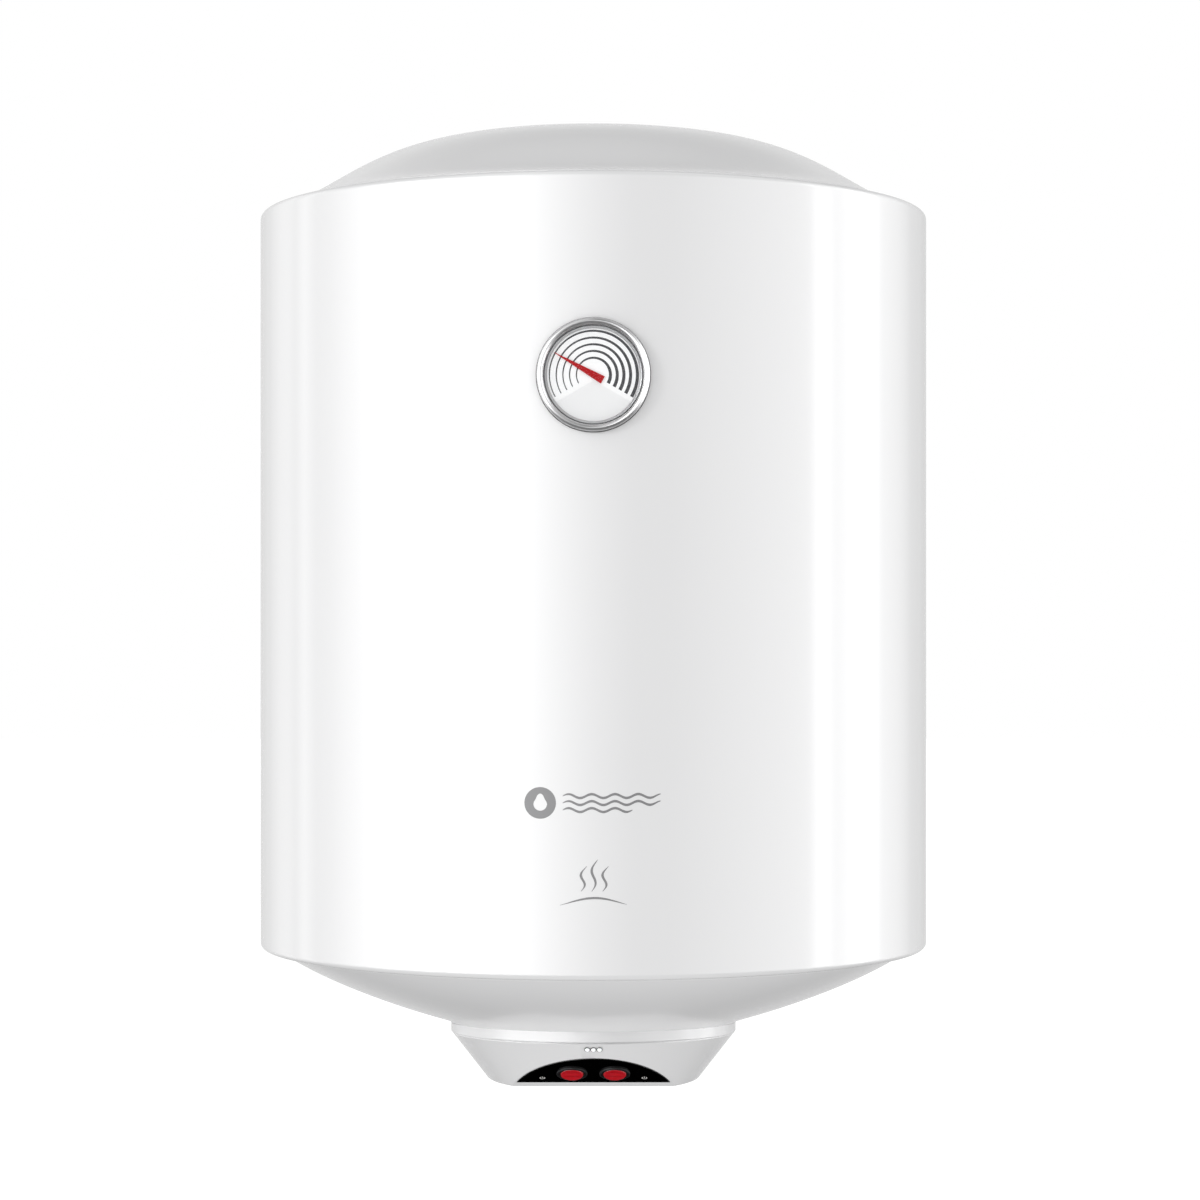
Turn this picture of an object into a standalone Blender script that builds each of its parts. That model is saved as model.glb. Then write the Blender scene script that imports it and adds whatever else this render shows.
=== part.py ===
"""Wall-hung electric storage water heater, about 50 litres, with its steel tank, foam, heating group,
dial thermometer, switch panel and wall fixings.

Metres, +Z up. The wall is the plane Y = 0 and the heater stands out from it along -Y,
so the front faces -Y.
The origin is the centre of the wall bracket's rear face.
"""

import math

import bmesh
import bpy
from mathutils import Vector

MM = 0.001
RIGHT_ANGLE = math.pi / 2
FULL_TURN = 2 * math.pi

# Outer casing
SHELL_RADIUS = 222.5 * MM
SHELL_HEIGHT = 487.5 * MM
SHELL_SHEET = 0.6 * MM
LIP_RADIUS = 4.0 * MM  # the sheet turns over this radius at both ends
LIP_WIDTH = 8.0 * MM  # how far the turned lip reaches in from the outer wall
WALL_GAP = 16.0 * MM  # from the shell's rearmost line to the wall
HANG_DROP = 118.0 * MM  # from the shell's top down to the bracket's centre
SEAT_GAP = 0.4 * MM  # between pieces that rest on each other
LOOSE_GAP = 1.0 * MM  # around whatever passes through a hole with room to spare

# Plastic covers
COVER_WALL = 2.5 * MM
COVER_SKIRT = 12.0 * MM
TOP_DOME_HEIGHT = 49.6 * MM
TOP_DOME_STEP = 1.6 * MM
TOP_DOME_FALL = 4.5  # exponent: higher keeps the crown flat for longer
TOP_DOME_FLARE = 2.1  # exponent: over 1 makes the rim run out flat
BOTTOM_DOME_DEPTH = 73.0 * MM
BOTTOM_DOME_RISE = 6.0 * MM  # the curve would meet the wall this far above the shell's end
BOTTOM_DOME_FALL = 1.415
BOTTOM_DOME_FLARE = 0.773
BOTTOM_DOME_MARGIN = 5.4 * MM  # from the wall in to where that curve would end
BOTTOM_STEP_WIDTH = 14.5 * MM  # from the wall in to the edge where the dome starts
BOTTOM_STEP_DROP = 1.2 * MM
BOSS_TALL = 5.0 * MM  # how far the bosses reach in past the cover's outer face

# Foam and tank
FOAM_SIDE = 24.0 * MM
FOAM_TOP = 34.0 * MM
FOAM_FIT = 0.9 * MM
FOAM_END = 16.0 * MM  # the foam stops this far inside the shell's ends, clear of the cover skirts
TANK_SHEET = 1.8 * MM
TANK_HEAD_DEPTH = 50.0 * MM
TANK_FOOT = 38.0 * MM  # from the shell's bottom up to the tank's lowest point

# Flange and what it carries
PORT_RADIUS = 50.0 * MM  # hole in the tank's lower head
COLLAR_BORE = 40.0 * MM
COLLAR_NECK = 6.0 * MM
COLLAR_THICKNESS = 8.0 * MM
FLANGE_RADIUS = 60.0 * MM
FLANGE_THICKNESS = 3.0 * MM
GASKET_THICKNESS = 2.4 * MM
GASKET_WIDTH = 6.0 * MM
FLANGE_BOLTS = 5
BOLT_CIRCLE = 53.0 * MM
BOLT_RADIUS = 3.0 * MM
BOLT_HEAD_RADIUS = 5.6 * MM
BOLT_HEAD_HEIGHT = 4.0 * MM
BOLT_REACH = 5.0 * MM
ELEMENT_RADIUS = 4.2 * MM
ELEMENT_PITCH = 30.0 * MM
ELEMENT_SIDE = 21.0 * MM
LONG_ELEMENT = 250.0 * MM
SHORT_ELEMENT = 170.0 * MM
TERMINAL_LENGTH = 12.0 * MM
ELEMENT_BEND_STEPS = 8
POCKET_X = 27.0 * MM
POCKET_RADIUS = 5.0 * MM
POCKET_WALL = 0.9 * MM
POCKET_LENGTH = 230.0 * MM
ANODE_X = -24.0 * MM
ANODE_RADIUS = 10.5 * MM
ANODE_LENGTH = 190.0 * MM
ANODE_STUD_RADIUS = 2.5 * MM
THERMOSTAT_SIZE = (32.0 * MM, 26.0 * MM, 22.0 * MM)
SPINDLE_RADIUS = 3.0 * MM
SPINDLE_LENGTH = 7.0 * MM
RESET_RADIUS = 2.2 * MM
RESET_LENGTH = 5.0 * MM

# Water pipes
PIPE_SPACING = 100.0 * MM
PIPE_BACK = 115.0 * MM  # from the heater's axis towards the wall
PIPE_RADIUS = 10.4 * MM
PIPE_BORE = 7.6 * MM
PIPE_REACH = 25.0 * MM  # how far the nipples stand out of their bosses
PIPE_RISE = 14.0 * MM  # how far they stand inside the tank
THREAD_TURNS = 4
THREAD_PITCH = 3.0 * MM
THREAD_DEPTH = 0.9 * MM
RISER_RADIUS = 6.5 * MM
RISER_WALL = 1.0 * MM
RISER_HEADROOM = 45.0 * MM
DIFFUSER_LENGTH = 46.0 * MM
PIPE_RING_RADIUS = 16.0 * MM
PIPE_RING_HEIGHT = 6.0 * MM
PIPE_BOSS_RADIUS = 19.0 * MM
BOSS_STAND = 1.583 * MM  # face of the bosses, below the dome where a pipe boss meets it first

# Control housing
HOUSING_FORWARD = 20.0 * MM
HOUSING_TOP_RADIUS = 94.6 * MM
HOUSING_FOOT_RADIUS = 69.9 * MM
HOUSING_DROP = 85.9 * MM  # foot, below the shell
HOUSING_BAND = 55.1 * MM  # lower edge of the upright band, below the shell
HOUSING_TILT = 0.036  # rise of that edge per unit of distance forward
HOUSING_WALL = 2.5 * MM
HOUSING_FILLET = 3.0 * MM
ACCESS_INSET = 30.6 * MM  # from the housing's rim in to the access hole's edge
ACCESS_FORWARD = 6.0 * MM
POST_INSET = 23.6 * MM  # from the housing's rim in to the screws, seen from the front
POST_BACK = 41.0 * MM
POST_RADIUS = 7.0 * MM
POST_CAP = 4.0 * MM
SCREW_RADIUS = 1.6 * MM
SCREW_HEAD_RADIUS = 3.6 * MM
SCREW_HEAD_HEIGHT = 2.4 * MM
SCREW_REACH = 11.0 * MM

# Switch panel, on the flat facet cut across the housing's front
FACET_FORWARD = 45.2 * MM
FACET_ANGLE = math.radians(30.0)
PANEL_FOOT = 7.0 * MM
PANEL_BORDER = 1.2 * MM
PANEL_THICKNESS = 3.0 * MM
PANEL_PROUD = 0.3 * MM
PANEL_STEPS = 10
SWITCH_SIDE = 13.8 * MM
SWITCH_UP = 16.0 * MM
SWITCH_BARREL = 9.2 * MM
SWITCH_BEZEL = 10.2 * MM
SWITCH_BEZEL_HEIGHT = 1.0 * MM
SWITCH_BORE = 8.0 * MM
SWITCH_DEPTH = 12.0 * MM
SWITCH_FLOOR = 3.0 * MM
ROCKER_RADIUS = 7.6 * MM
ROCKER_HALF = 2.6 * MM
ROCKER_SINK = 2.2 * MM
ROCKER_TILT = math.radians(5.0)
LAMP_RADIUS = 1.5 * MM
LAMP_PITCH = 3.9 * MM
LAMP_DROP = 56.0 * MM  # centre of the lamps, below the shell
LAMP_LENGTH = 6.0 * MM
LAMP_PROUD = 0.5 * MM

# Cord gland and terminal block
GLAND_BACK = 104.0 * MM
GLAND_BORE = 4.3 * MM
GLAND_THREAD = 7.5 * MM
GLAND_HEX = 10.5 * MM
GLAND_HEX_HEIGHT = 9.0 * MM
GLAND_NOSE = 11.0 * MM
GLAND_INSIDE = 13.0 * MM
GLAND_NUT_HEIGHT = 4.0 * MM
BLOCK_SIZE = (44.0 * MM, 18.0 * MM, 15.0 * MM)
BLOCK_BACK = 78.0 * MM
TERMINAL_WAYS = 3

# Dial thermometer
GAUGE_DROP = 123.5 * MM  # centre, below the shell's top
BEZEL_RADIUS = 34.2 * MM
BEZEL_BORE = 30.1 * MM
BEZEL_HEIGHT = 6.2 * MM
BEZEL_ROUND = 1.6 * MM
GAUGE_CASE_RADIUS = 29.4 * MM
GAUGE_CASE_WALL = 1.4 * MM
GAUGE_CASE_DEPTH = 13.0 * MM
DIAL_THICKNESS = 0.7 * MM
DIAL_FACE_RADIUS = 27.9 * MM
LENS_FLOOR = 2.5 * MM
LENS_THICKNESS = 1.3 * MM
LENS_SEAT = 0.9 * MM
NEEDLE_TIP = 27.0 * MM
NEEDLE_TAIL = 6.5 * MM
NEEDLE_WIDTH = 4.3 * MM
NEEDLE_FLOOR = 1.2 * MM
NEEDLE_THICKNESS = 0.6 * MM
NEEDLE_REST = math.radians(150.5)  # anticlockwise from +X, seen from the front
SHAFT_RADIUS = 0.8 * MM
COIL_TURNS = 3
COIL_PITCH = 2.0 * MM
COIL_STRIP = (0.4 * MM, 4.0 * MM)
STEM_RADIUS = 3.0 * MM

# Wall fixings
BRACKET_SIZE = (250.0 * MM, 3.0 * MM, 50.0 * MM)
SLOT_SPACING = 196.0 * MM
SLOT_WIDTH = 12.0 * MM
SLOT_HEIGHT = 24.0 * MM
LEG_SPACING = 120.0 * MM
LEG_THICKNESS = 4.0 * MM
LEG_HEIGHT = 42.0 * MM
LEG_FOOT = 22.0 * MM
BUFFER_RISE = 105.0 * MM  # buffer's centre, above the shell's bottom
BUFFER_RADIUS = 15.0 * MM
BUFFER_STUD_RADIUS = 3.0 * MM

# Facets round each kind of turned piece
CASING_SIDES = 40
INSIDE_SIDES = 28
SMALL_SIDES = 16
FASTENER_SIDES = 10
HEX_SIDES = 6
# Where the rings of the domes lie, as shares of their radius
TOP_RINGS = (0.0, 0.45, 0.62, 0.76, 0.87, 0.94, 1.0)
TOP_INNER_RINGS = (0.95, 0.8, 0.6, 0.0)
BOTTOM_RINGS = (0.0, 0.3, 0.5, 0.66, 0.82, 0.93, 1.0)
BOTTOM_INNER_RINGS = (1.0, 0.8, 0.5, 0.2, 0.0)
HEAD_STEPS = 4

# Places that follow from the sizes above
AXIS_Y = -(SHELL_RADIUS + WALL_GAP)
SHELL_TOP = HANG_DROP
SHELL_BOTTOM = SHELL_TOP - SHELL_HEIGHT
COVER_RADIUS = SHELL_RADIUS - LIP_WIDTH - SEAT_GAP
TANK_RADIUS = SHELL_RADIUS - SHELL_SHEET - FOAM_SIDE
TANK_TOP = SHELL_TOP + TOP_DOME_STEP + TOP_DOME_HEIGHT - COVER_WALL - FOAM_TOP
TANK_BOTTOM = SHELL_BOTTOM + TANK_FOOT
HEAD_TOP = TANK_TOP - TANK_HEAD_DEPTH  # where the upper head joins the cylinder
HEAD_LOW = TANK_BOTTOM + TANK_HEAD_DEPTH
COLLAR_TOP = TANK_BOTTOM - SEAT_GAP
COLLAR_FACE = COLLAR_TOP - COLLAR_THICKNESS
FLANGE_TOP = COLLAR_FACE - GASKET_THICKNESS - 2 * SEAT_GAP
FLANGE_FACE = FLANGE_TOP - FLANGE_THICKNESS
HOUSING_Y = AXIS_Y - HOUSING_FORWARD
HOUSING_FOOT = SHELL_BOTTOM - HOUSING_DROP
BAND_LOW = SHELL_BOTTOM - HOUSING_BAND
GAUGE_Z = SHELL_TOP - GAUGE_DROP


# Materials: name -> (colour, metallic, roughness, alpha)
FINISHES = {
    "white_enamel": ((0.90, 0.90, 0.90), 0.0, 0.15, 1.0),
    "white_plastic": ((0.86, 0.86, 0.86), 0.0, 0.25, 1.0),
    "black_gloss": ((0.01, 0.01, 0.01), 0.0, 0.12, 1.0),
    "red_lamp": ((0.72, 0.03, 0.03), 0.0, 0.2, 1.0),
    "clear_plastic": ((0.95, 0.96, 0.97), 0.0, 0.05, 0.35),
    "chrome": ((0.75, 0.75, 0.76), 1.0, 0.12, 1.0),
    "steel": ((0.55, 0.56, 0.57), 1.0, 0.35, 1.0),
    "brass": ((0.75, 0.56, 0.25), 1.0, 0.3, 1.0),
    "foam": ((0.86, 0.78, 0.50), 0.0, 0.9, 1.0),
    "rubber": ((0.03, 0.03, 0.03), 0.0, 0.7, 1.0),
    "magnesium": ((0.62, 0.62, 0.60), 1.0, 0.55, 1.0),
    "blue_plastic": ((0.02, 0.12, 0.60), 0.0, 0.35, 1.0),
    "red_plastic": ((0.65, 0.03, 0.03), 0.0, 0.35, 1.0),
    "grey_plastic": ((0.30, 0.30, 0.31), 0.0, 0.5, 1.0),
}


def clear_scene():
    """Removes whatever the file opened with."""
    for obj in list(bpy.data.objects):
        bpy.data.objects.remove(obj, do_unlink=True)


def make_materials():
    """One Principled material for each finish."""
    for name, (colour, metallic, roughness, alpha) in FINISHES.items():
        material = bpy.data.materials.new(name)
        material.use_nodes = True
        shader = material.node_tree.nodes["Principled BSDF"]
        shader.inputs["Base Color"].default_value = (*colour, 1.0)
        shader.inputs["Metallic"].default_value = metallic
        shader.inputs["Roughness"].default_value = roughness
        shader.inputs["Alpha"].default_value = alpha


def add_frame(name, location, rotation=(0, 0, 0)):
    """An empty that pieces are placed in."""
    empty = bpy.data.objects.new(name, None)
    empty.location = location
    empty.rotation_euler = rotation
    bpy.context.scene.collection.objects.link(empty)
    return empty


def add_object(name, bm, finish, parent=None, location=(0, 0, 0), rotation=(0, 0, 0), smooth=True):
    """Makes a named object from a bmesh whose faces are turned outwards first."""
    bmesh.ops.recalc_face_normals(bm, faces=bm.faces)
    mesh = bpy.data.meshes.new(name)
    bm.to_mesh(mesh)
    bm.free()
    if smooth:
        mesh.shade_smooth()
        mesh.set_sharp_from_angle(angle=math.radians(35))
    mesh.materials.append(bpy.data.materials[finish])
    obj = bpy.data.objects.new(name, mesh)
    obj.parent = parent
    obj.location = location
    obj.rotation_euler = rotation
    bpy.context.scene.collection.objects.link(obj)
    return obj


def turned(profile, sides):
    """A bmesh turned about Z from (radius, height) points, open only where both ends are on the axis."""
    bm = bmesh.new()
    verts = [bm.verts.new((radius, 0, height)) for radius, height in profile]
    pairs = list(zip(verts, verts[1:]))
    on_axis = profile[0][0] == 0 and profile[-1][0] == 0
    if not on_axis:
        pairs.append((verts[-1], verts[0]))
    edges = [bm.edges.new(pair) for pair in pairs]
    bmesh.ops.spin(
        bm,
        geom=verts + edges,
        cent=(0, 0, 0),
        axis=(0, 0, 1),
        angle=FULL_TURN,
        steps=sides,
        use_merge=True,
    )
    bmesh.ops.remove_doubles(bm, verts=bm.verts, dist=1e-6)
    return bm


def turn(name, profile, finish, sides=SMALL_SIDES, **place):
    """A turned piece."""
    return add_object(name, turned(profile, sides), finish, **place)


def cylinder_profile(radius, low, high):
    """Profile of a plain round bar."""
    return [(0, low), (radius, low), (radius, high), (0, high)]


def ring_profile(bore, radius, low, high):
    """Profile of a plain round ring."""
    return [(bore, low), (radius, low), (radius, high), (bore, high)]


def block(name, size, finish, bevel=0.0, **place):
    """A box centred on its own origin, with its edges bevelled."""
    bm = bmesh.new()
    bmesh.ops.create_cube(bm, size=1.0)
    bmesh.ops.scale(bm, vec=size, verts=bm.verts)
    if bevel:
        bmesh.ops.bevel(bm, geom=bm.edges, offset=bevel, segments=1, affect="EDGES")
    return add_object(name, bm, finish, smooth=False, **place)


def extruded(name, outline, low, high, finish, **place):
    """A flat outline in X and Y, extruded along Z."""
    bm = bmesh.new()
    face = bm.faces.new([bm.verts.new((x, y, low)) for x, y in outline])
    grown = bmesh.ops.extrude_face_region(bm, geom=[face])
    moved = [item for item in grown["geom"] if isinstance(item, bmesh.types.BMVert)]
    bmesh.ops.translate(bm, vec=(0, 0, high - low), verts=moved)
    return add_object(name, bm, finish, smooth=False, **place)


def rod_along(name, points, radius, finish, sides_level=2, **place):
    """A round bar or wire along a list of points."""
    curve = bpy.data.curves.new(name, "CURVE")
    curve.dimensions = "3D"
    curve.bevel_depth = radius
    curve.bevel_resolution = sides_level
    curve.use_fill_caps = True
    spline = curve.splines.new("POLY")
    spline.points.add(len(points) - 1)
    for point, place_at in zip(spline.points, points):
        point.co = (*place_at, 1.0)
    curve.materials.append(bpy.data.materials[finish])
    obj = bpy.data.objects.new(name, curve)
    obj.parent = place.get("parent")
    bpy.context.scene.collection.objects.link(obj)
    return obj


def arc(centre, radius, start, end, steps):
    """Points along an arc in the plane of a profile, both ends included; angles in degrees."""
    found = []
    for step in range(steps + 1):
        angle = math.radians(start + (end - start) * step / steps)
        found.append((centre[0] + radius * math.cos(angle), centre[1] + radius * math.sin(angle)))
    return found


def as_tool(obj):
    """Marks an object as a cutter or a shape to join, which is not a piece of the heater."""
    obj.hide_render = True
    obj.display_type = "WIRE"
    return obj


def combine(target, tool, operation="DIFFERENCE"):
    """Adds a Boolean of target with tool."""
    modifier = target.modifiers.new(f"{operation.lower()} {tool.name}", "BOOLEAN")
    modifier.operation = operation
    modifier.solver = "EXACT"
    modifier.object = as_tool(tool)


def pin_tool(name, radius, low, high, parent, location=(0, 0, 0), sides=SMALL_SIDES):
    """A round cutter along its parent's Z."""
    return turn(name, cylinder_profile(radius, low, high), "steel", sides, parent=parent, location=location)


def turned_set(name, items, parent, sides=SMALL_SIDES):
    """Several separate turned shapes in one tool; each item is (x, y, profile)."""
    bm = bmesh.new()
    for x, y, profile in items:
        shape = turned(profile, sides)
        bmesh.ops.translate(shape, vec=(x, y, 0), verts=shape.verts)
        mesh = bpy.data.meshes.new("shape")
        shape.to_mesh(mesh)
        shape.free()
        bm.from_mesh(mesh)
        bpy.data.meshes.remove(mesh)
    return add_object(name, bm, "steel", parent)


def pins_tool(name, pins, parent, sides=SMALL_SIDES):
    """Several round cutters in one tool; each pin is (x, y, radius, low, high)."""
    items = [(x, y, cylinder_profile(radius, low, high)) for x, y, radius, low, high in pins]
    return turned_set(name, items, parent, sides)


def top_dome(radius):
    """Height of the top cover's outer face at a distance from the axis."""
    share = min(1.0, radius / COVER_RADIUS)
    rise = TOP_DOME_HEIGHT * (1 - share**TOP_DOME_FALL) ** TOP_DOME_FLARE
    return SHELL_TOP + TOP_DOME_STEP + rise


def bottom_dome(radius):
    """Height of the bottom cover's outer face at a distance from the axis."""
    share = min(1.0, radius / (SHELL_RADIUS - BOTTOM_DOME_MARGIN))
    fall = BOTTOM_DOME_DEPTH * (1 - share**BOTTOM_DOME_FALL) ** BOTTOM_DOME_FLARE
    return SHELL_BOTTOM + BOTTOM_DOME_RISE - fall


def head_height(radius, grow=0.0):
    """How far the tank's dished head stands beyond the cylinder's end, at a distance from the axis."""
    share = min(1.0, radius / (TANK_RADIUS + grow))
    return (TANK_HEAD_DEPTH + grow) * math.sqrt(1 - share * share)


def steps_between(start, end, steps):
    """Evenly spaced values, both ends included."""
    return [start + (end - start) * step / steps for step in range(steps + 1)]


def head_profile(grow, inner, steps=HEAD_STEPS):
    """Radii from the wall in to inner with each one's head height; closer together near the wall."""
    reach = TANK_RADIUS + grow
    limit = math.asin(min(1.0, inner / reach))
    found = []
    for angle in steps_between(RIGHT_ANGLE, limit, steps):
        radius = reach * math.sin(angle)
        found.append((radius, head_height(radius, grow)))
    found[0] = (reach, 0.0)
    if inner == 0:
        found[-1] = (0.0, TANK_HEAD_DEPTH + grow)
    return found


# ---------------------------------------------------------------- casing


def shell_profile():
    """Sheet-steel wall with a lip turned in at both ends."""
    inner_turn = LIP_RADIUS - SHELL_SHEET
    edge = SHELL_RADIUS - LIP_WIDTH
    turn_at = SHELL_RADIUS - LIP_RADIUS
    top_turn = (turn_at, SHELL_TOP - LIP_RADIUS)
    low_turn = (turn_at, SHELL_BOTTOM + LIP_RADIUS)
    outside = [(edge, SHELL_TOP), *arc(top_turn, LIP_RADIUS, 90, 0, 2)]
    outside += [*arc(low_turn, LIP_RADIUS, 0, -90, 2), (edge, SHELL_BOTTOM)]
    inside = [(edge, SHELL_BOTTOM + SHELL_SHEET), *arc(low_turn, inner_turn, -90, 0, 2)]
    inside += [*arc(top_turn, inner_turn, 0, 90, 2), (edge, SHELL_TOP - SHELL_SHEET)]
    return outside + inside


def cover_flange(end, inward):
    """Flange held behind the shell's lip, then the skirt's free end; inward is +1 or -1 along Z."""
    lip = end + inward * (SHELL_SHEET + SEAT_GAP)
    rim = SHELL_RADIUS - SHELL_SHEET - SEAT_GAP - LIP_RADIUS / 4
    back = lip + inward * COVER_WALL
    tip = lip + inward * COVER_SKIRT
    skirt = COVER_RADIUS - COVER_WALL
    held = rim - LIP_RADIUS / 2
    return [
        (COVER_RADIUS, lip),
        (held, lip),
        (rim, lip + inward * LIP_RADIUS / 2),
        (rim, back),
        (COVER_RADIUS, back),
        (COVER_RADIUS, tip),
        (skirt, tip),
    ]


def make_top_cover(axis):
    """Domed plastic lid, held by its flange behind the shell's upper lip."""
    outside = [(COVER_RADIUS * share, top_dome(COVER_RADIUS * share)) for share in TOP_RINGS]
    inner = [COVER_RADIUS * share for share in TOP_INNER_RINGS]
    inside = [(radius, top_dome(radius) - COVER_WALL) for radius in inner]
    return turn(
        "top_cover",
        outside + cover_flange(SHELL_TOP, -1) + inside,
        "white_plastic",
        CASING_SIDES,
        parent=axis,
    )


def bottom_profile(shares, shift=0.0):
    """Points on the bottom cover's outer face, raised by a shift; a share of 1 is the dome's edge."""
    edge = SHELL_RADIUS - BOTTOM_STEP_WIDTH
    return [(edge * share, bottom_dome(edge * share) + shift) for share in shares]


def make_bottom_cover(axis):
    """Domed lower cover with bosses for the pipes, the gland and the housing's screws."""
    outside = bottom_profile(BOTTOM_RINGS)
    inside = bottom_profile(BOTTOM_INNER_RINGS, COVER_WALL)
    outside.append((COVER_RADIUS, SHELL_BOTTOM - BOTTOM_STEP_DROP))
    cover = turn(
        "bottom_cover",
        outside + cover_flange(SHELL_BOTTOM, 1) + inside,
        "white_plastic",
        CASING_SIDES,
        parent=axis,
    )
    below = bottom_dome(0) - 2 * LOOSE_GAP
    bosses = []
    holes = []
    for place, radius, hole, face in bottom_bosses():
        top = bottom_dome(math.hypot(*place) + radius) + BOSS_TALL
        bosses.append((*place, ring_profile(hole, radius, face, top)))
        holes.append((*place, (hole + radius) / 2, below, SHELL_BOTTOM))
    combine(cover, pins_tool("cover_hole_tool", holes, axis))
    access = pin_tool(
        "access_tool",
        HOUSING_TOP_RADIUS - ACCESS_INSET,
        below,
        SHELL_BOTTOM,
        axis,
        (0, -ACCESS_FORWARD, 0),
        INSIDE_SIDES,
    )
    combine(cover, access)
    combine(cover, turned_set("cover_boss_tool", bosses, axis), "UNION")
    return cover


def pipe_places():
    """Name, finish and place of each nipple from the heater's axis: cold right, hot left."""
    return (
        ("cold_inlet", "blue_plastic", (PIPE_SPACING / 2, PIPE_BACK)),
        ("hot_outlet", "red_plastic", (-PIPE_SPACING / 2, PIPE_BACK)),
    )


def boss_face():
    """Lower face of the pipe and gland bosses."""
    nearest = math.hypot(PIPE_SPACING / 2, PIPE_BACK) - PIPE_BOSS_RADIUS
    return bottom_dome(nearest) - BOSS_STAND


def pipe_end():
    """Lowest face of both nipples."""
    return boss_face() - PIPE_REACH


def post_places():
    """Where the housing's screws stand, seen from the heater's axis."""
    back = POST_BACK - HOUSING_FORWARD
    side = HOUSING_TOP_RADIUS - POST_INSET
    return ((-side, back), (side, back))


def post_face(place):
    """Lower face of the bottom cover's screw boss, which the housing's post meets."""
    return bottom_dome(math.hypot(*place) - POST_RADIUS) - SEAT_GAP


def bottom_bosses():
    """Place, boss radius, hole radius and face height of each boss on the bottom cover."""
    found = []
    for _, _, place in pipe_places():
        found.append((place, PIPE_BOSS_RADIUS, PIPE_RADIUS + LOOSE_GAP, boss_face()))
    gland_boss = PIPE_BOSS_RADIUS - COVER_WALL
    found.append(((0, GLAND_BACK), gland_boss, GLAND_THREAD + SEAT_GAP, boss_face()))
    for place in post_places():
        found.append((place, POST_RADIUS - LOOSE_GAP, SCREW_RADIUS + SEAT_GAP, post_face(place)))
    return found


def make_shell(axis, gauge, legs):
    """Painted steel cylinder with openings for the gauge, the bracket's legs and the buffer's stud."""
    shell = turn("outer_shell", shell_profile(), "white_enamel", CASING_SIDES, parent=axis)
    reach = GAUGE_CASE_DEPTH + LOOSE_GAP
    hole = pin_tool("gauge_hole_tool", BEZEL_BORE, -reach, BEZEL_HEIGHT, gauge, sides=INSIDE_SIDES)
    combine(shell, hole)
    for leg in legs:
        combine(shell, leg)
    combine(shell, stud_tool("shell_stud_tool"))
    return shell


def make_foam(axis, gauge, legs):
    """Rigid foam between the tank and the casing, open below round the flange."""
    outer = SHELL_RADIUS - SHELL_SHEET - FOAM_FIT
    neck = COVER_RADIUS - COVER_WALL - FOAM_FIT
    low = SHELL_BOTTOM + FOAM_END
    shoulder = SHELL_TOP - FOAM_END
    well = FLANGE_RADIUS + 2 * LOOSE_GAP
    roof_radii = [COVER_RADIUS * share for share in TOP_INNER_RINGS]
    roof = [(max(0.0, radius - FOAM_FIT), top_dome(radius) - 2 * COVER_WALL) for radius in roof_radii]
    upper = [(radius, HEAD_TOP + height) for radius, height in reversed(head_profile(FOAM_FIT, 0))]
    lower = [(radius, HEAD_LOW - height) for radius, height in head_profile(FOAM_FIT, well)]
    profile = [(outer, low), (outer, shoulder), (neck, shoulder), *roof]
    tail = [*upper, *lower, (lower[-1][0], low)]
    foam = turned_shell("foam_insulation", profile, tail, "foam", axis)
    floor = -GAUGE_CASE_DEPTH - 2 * LOOSE_GAP
    through = -FOAM_SIDE - LOOSE_GAP
    stem = STEM_RADIUS + LOOSE_GAP
    case = GAUGE_CASE_RADIUS + LOOSE_GAP
    pocket = [(0, through), (stem, through), (stem, floor)]
    pocket += [(case, floor), (case, BEZEL_HEIGHT), (0, BEZEL_HEIGHT)]
    combine(foam, turn("gauge_pocket_tool", pocket, "steel", SMALL_SIDES, parent=gauge))
    for leg in legs:
        combine(foam, leg)
    combine(foam, stud_tool("foam_stud_tool"))
    bores = []
    for _, _, place in pipe_places():
        bores.append((*place, PIPE_RADIUS + LOOSE_GAP, pipe_end(), TANK_BOTTOM + 2 * TANK_HEAD_DEPTH))
    combine(foam, pins_tool("foam_bore_tool", bores, axis))
    return foam


def turned_shell(name, outside, inside, finish, axis):
    """A turned vessel wall whose outside and inside both cross the axis at the top."""
    return turn(name, on_axis_first(outside, inside), finish, CASING_SIDES, parent=axis)


def on_axis_first(outside, inside):
    """Joins two profiles into one that starts and ends on the axis."""
    return list(reversed(outside)) + list(reversed(inside))


# ---------------------------------------------------------------- tank


def make_tank(axis):
    """Welded steel tank: cylinder, two dished heads, flange port and two pipe holes."""
    outside = [(radius, HEAD_TOP + height) for radius, height in reversed(head_profile(0, 0))]
    outside += [(radius, HEAD_LOW - height) for radius, height in head_profile(0, PORT_RADIUS)]
    inner = [(radius, HEAD_TOP + height) for radius, height in reversed(head_profile(-TANK_SHEET, 0))]
    inner += [(radius, HEAD_LOW - height) for radius, height in head_profile(-TANK_SHEET, PORT_RADIUS)]
    tank = turn("inner_tank", outside + list(reversed(inner)), "steel", INSIDE_SIDES, parent=axis)
    bores = [(*place, PIPE_RADIUS + SEAT_GAP, pipe_end(), HEAD_LOW) for _, _, place in pipe_places()]
    combine(tank, pins_tool("tank_bore_tool", bores, axis))
    return tank


def bolt_places():
    """Evenly spaced places on the flange's bolt circle, the first one at the front."""
    found = []
    for number in range(FLANGE_BOLTS):
        angle = FULL_TURN * number / FLANGE_BOLTS - RIGHT_ANGLE
        found.append((BOLT_CIRCLE * math.cos(angle), BOLT_CIRCLE * math.sin(angle)))
    return found


def element_places():
    """Name, length and Y place of each heating element on the flange."""
    return (
        ("long", LONG_ELEMENT, ELEMENT_SIDE),
        ("short", SHORT_ELEMENT, -ELEMENT_SIDE),
    )


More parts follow.
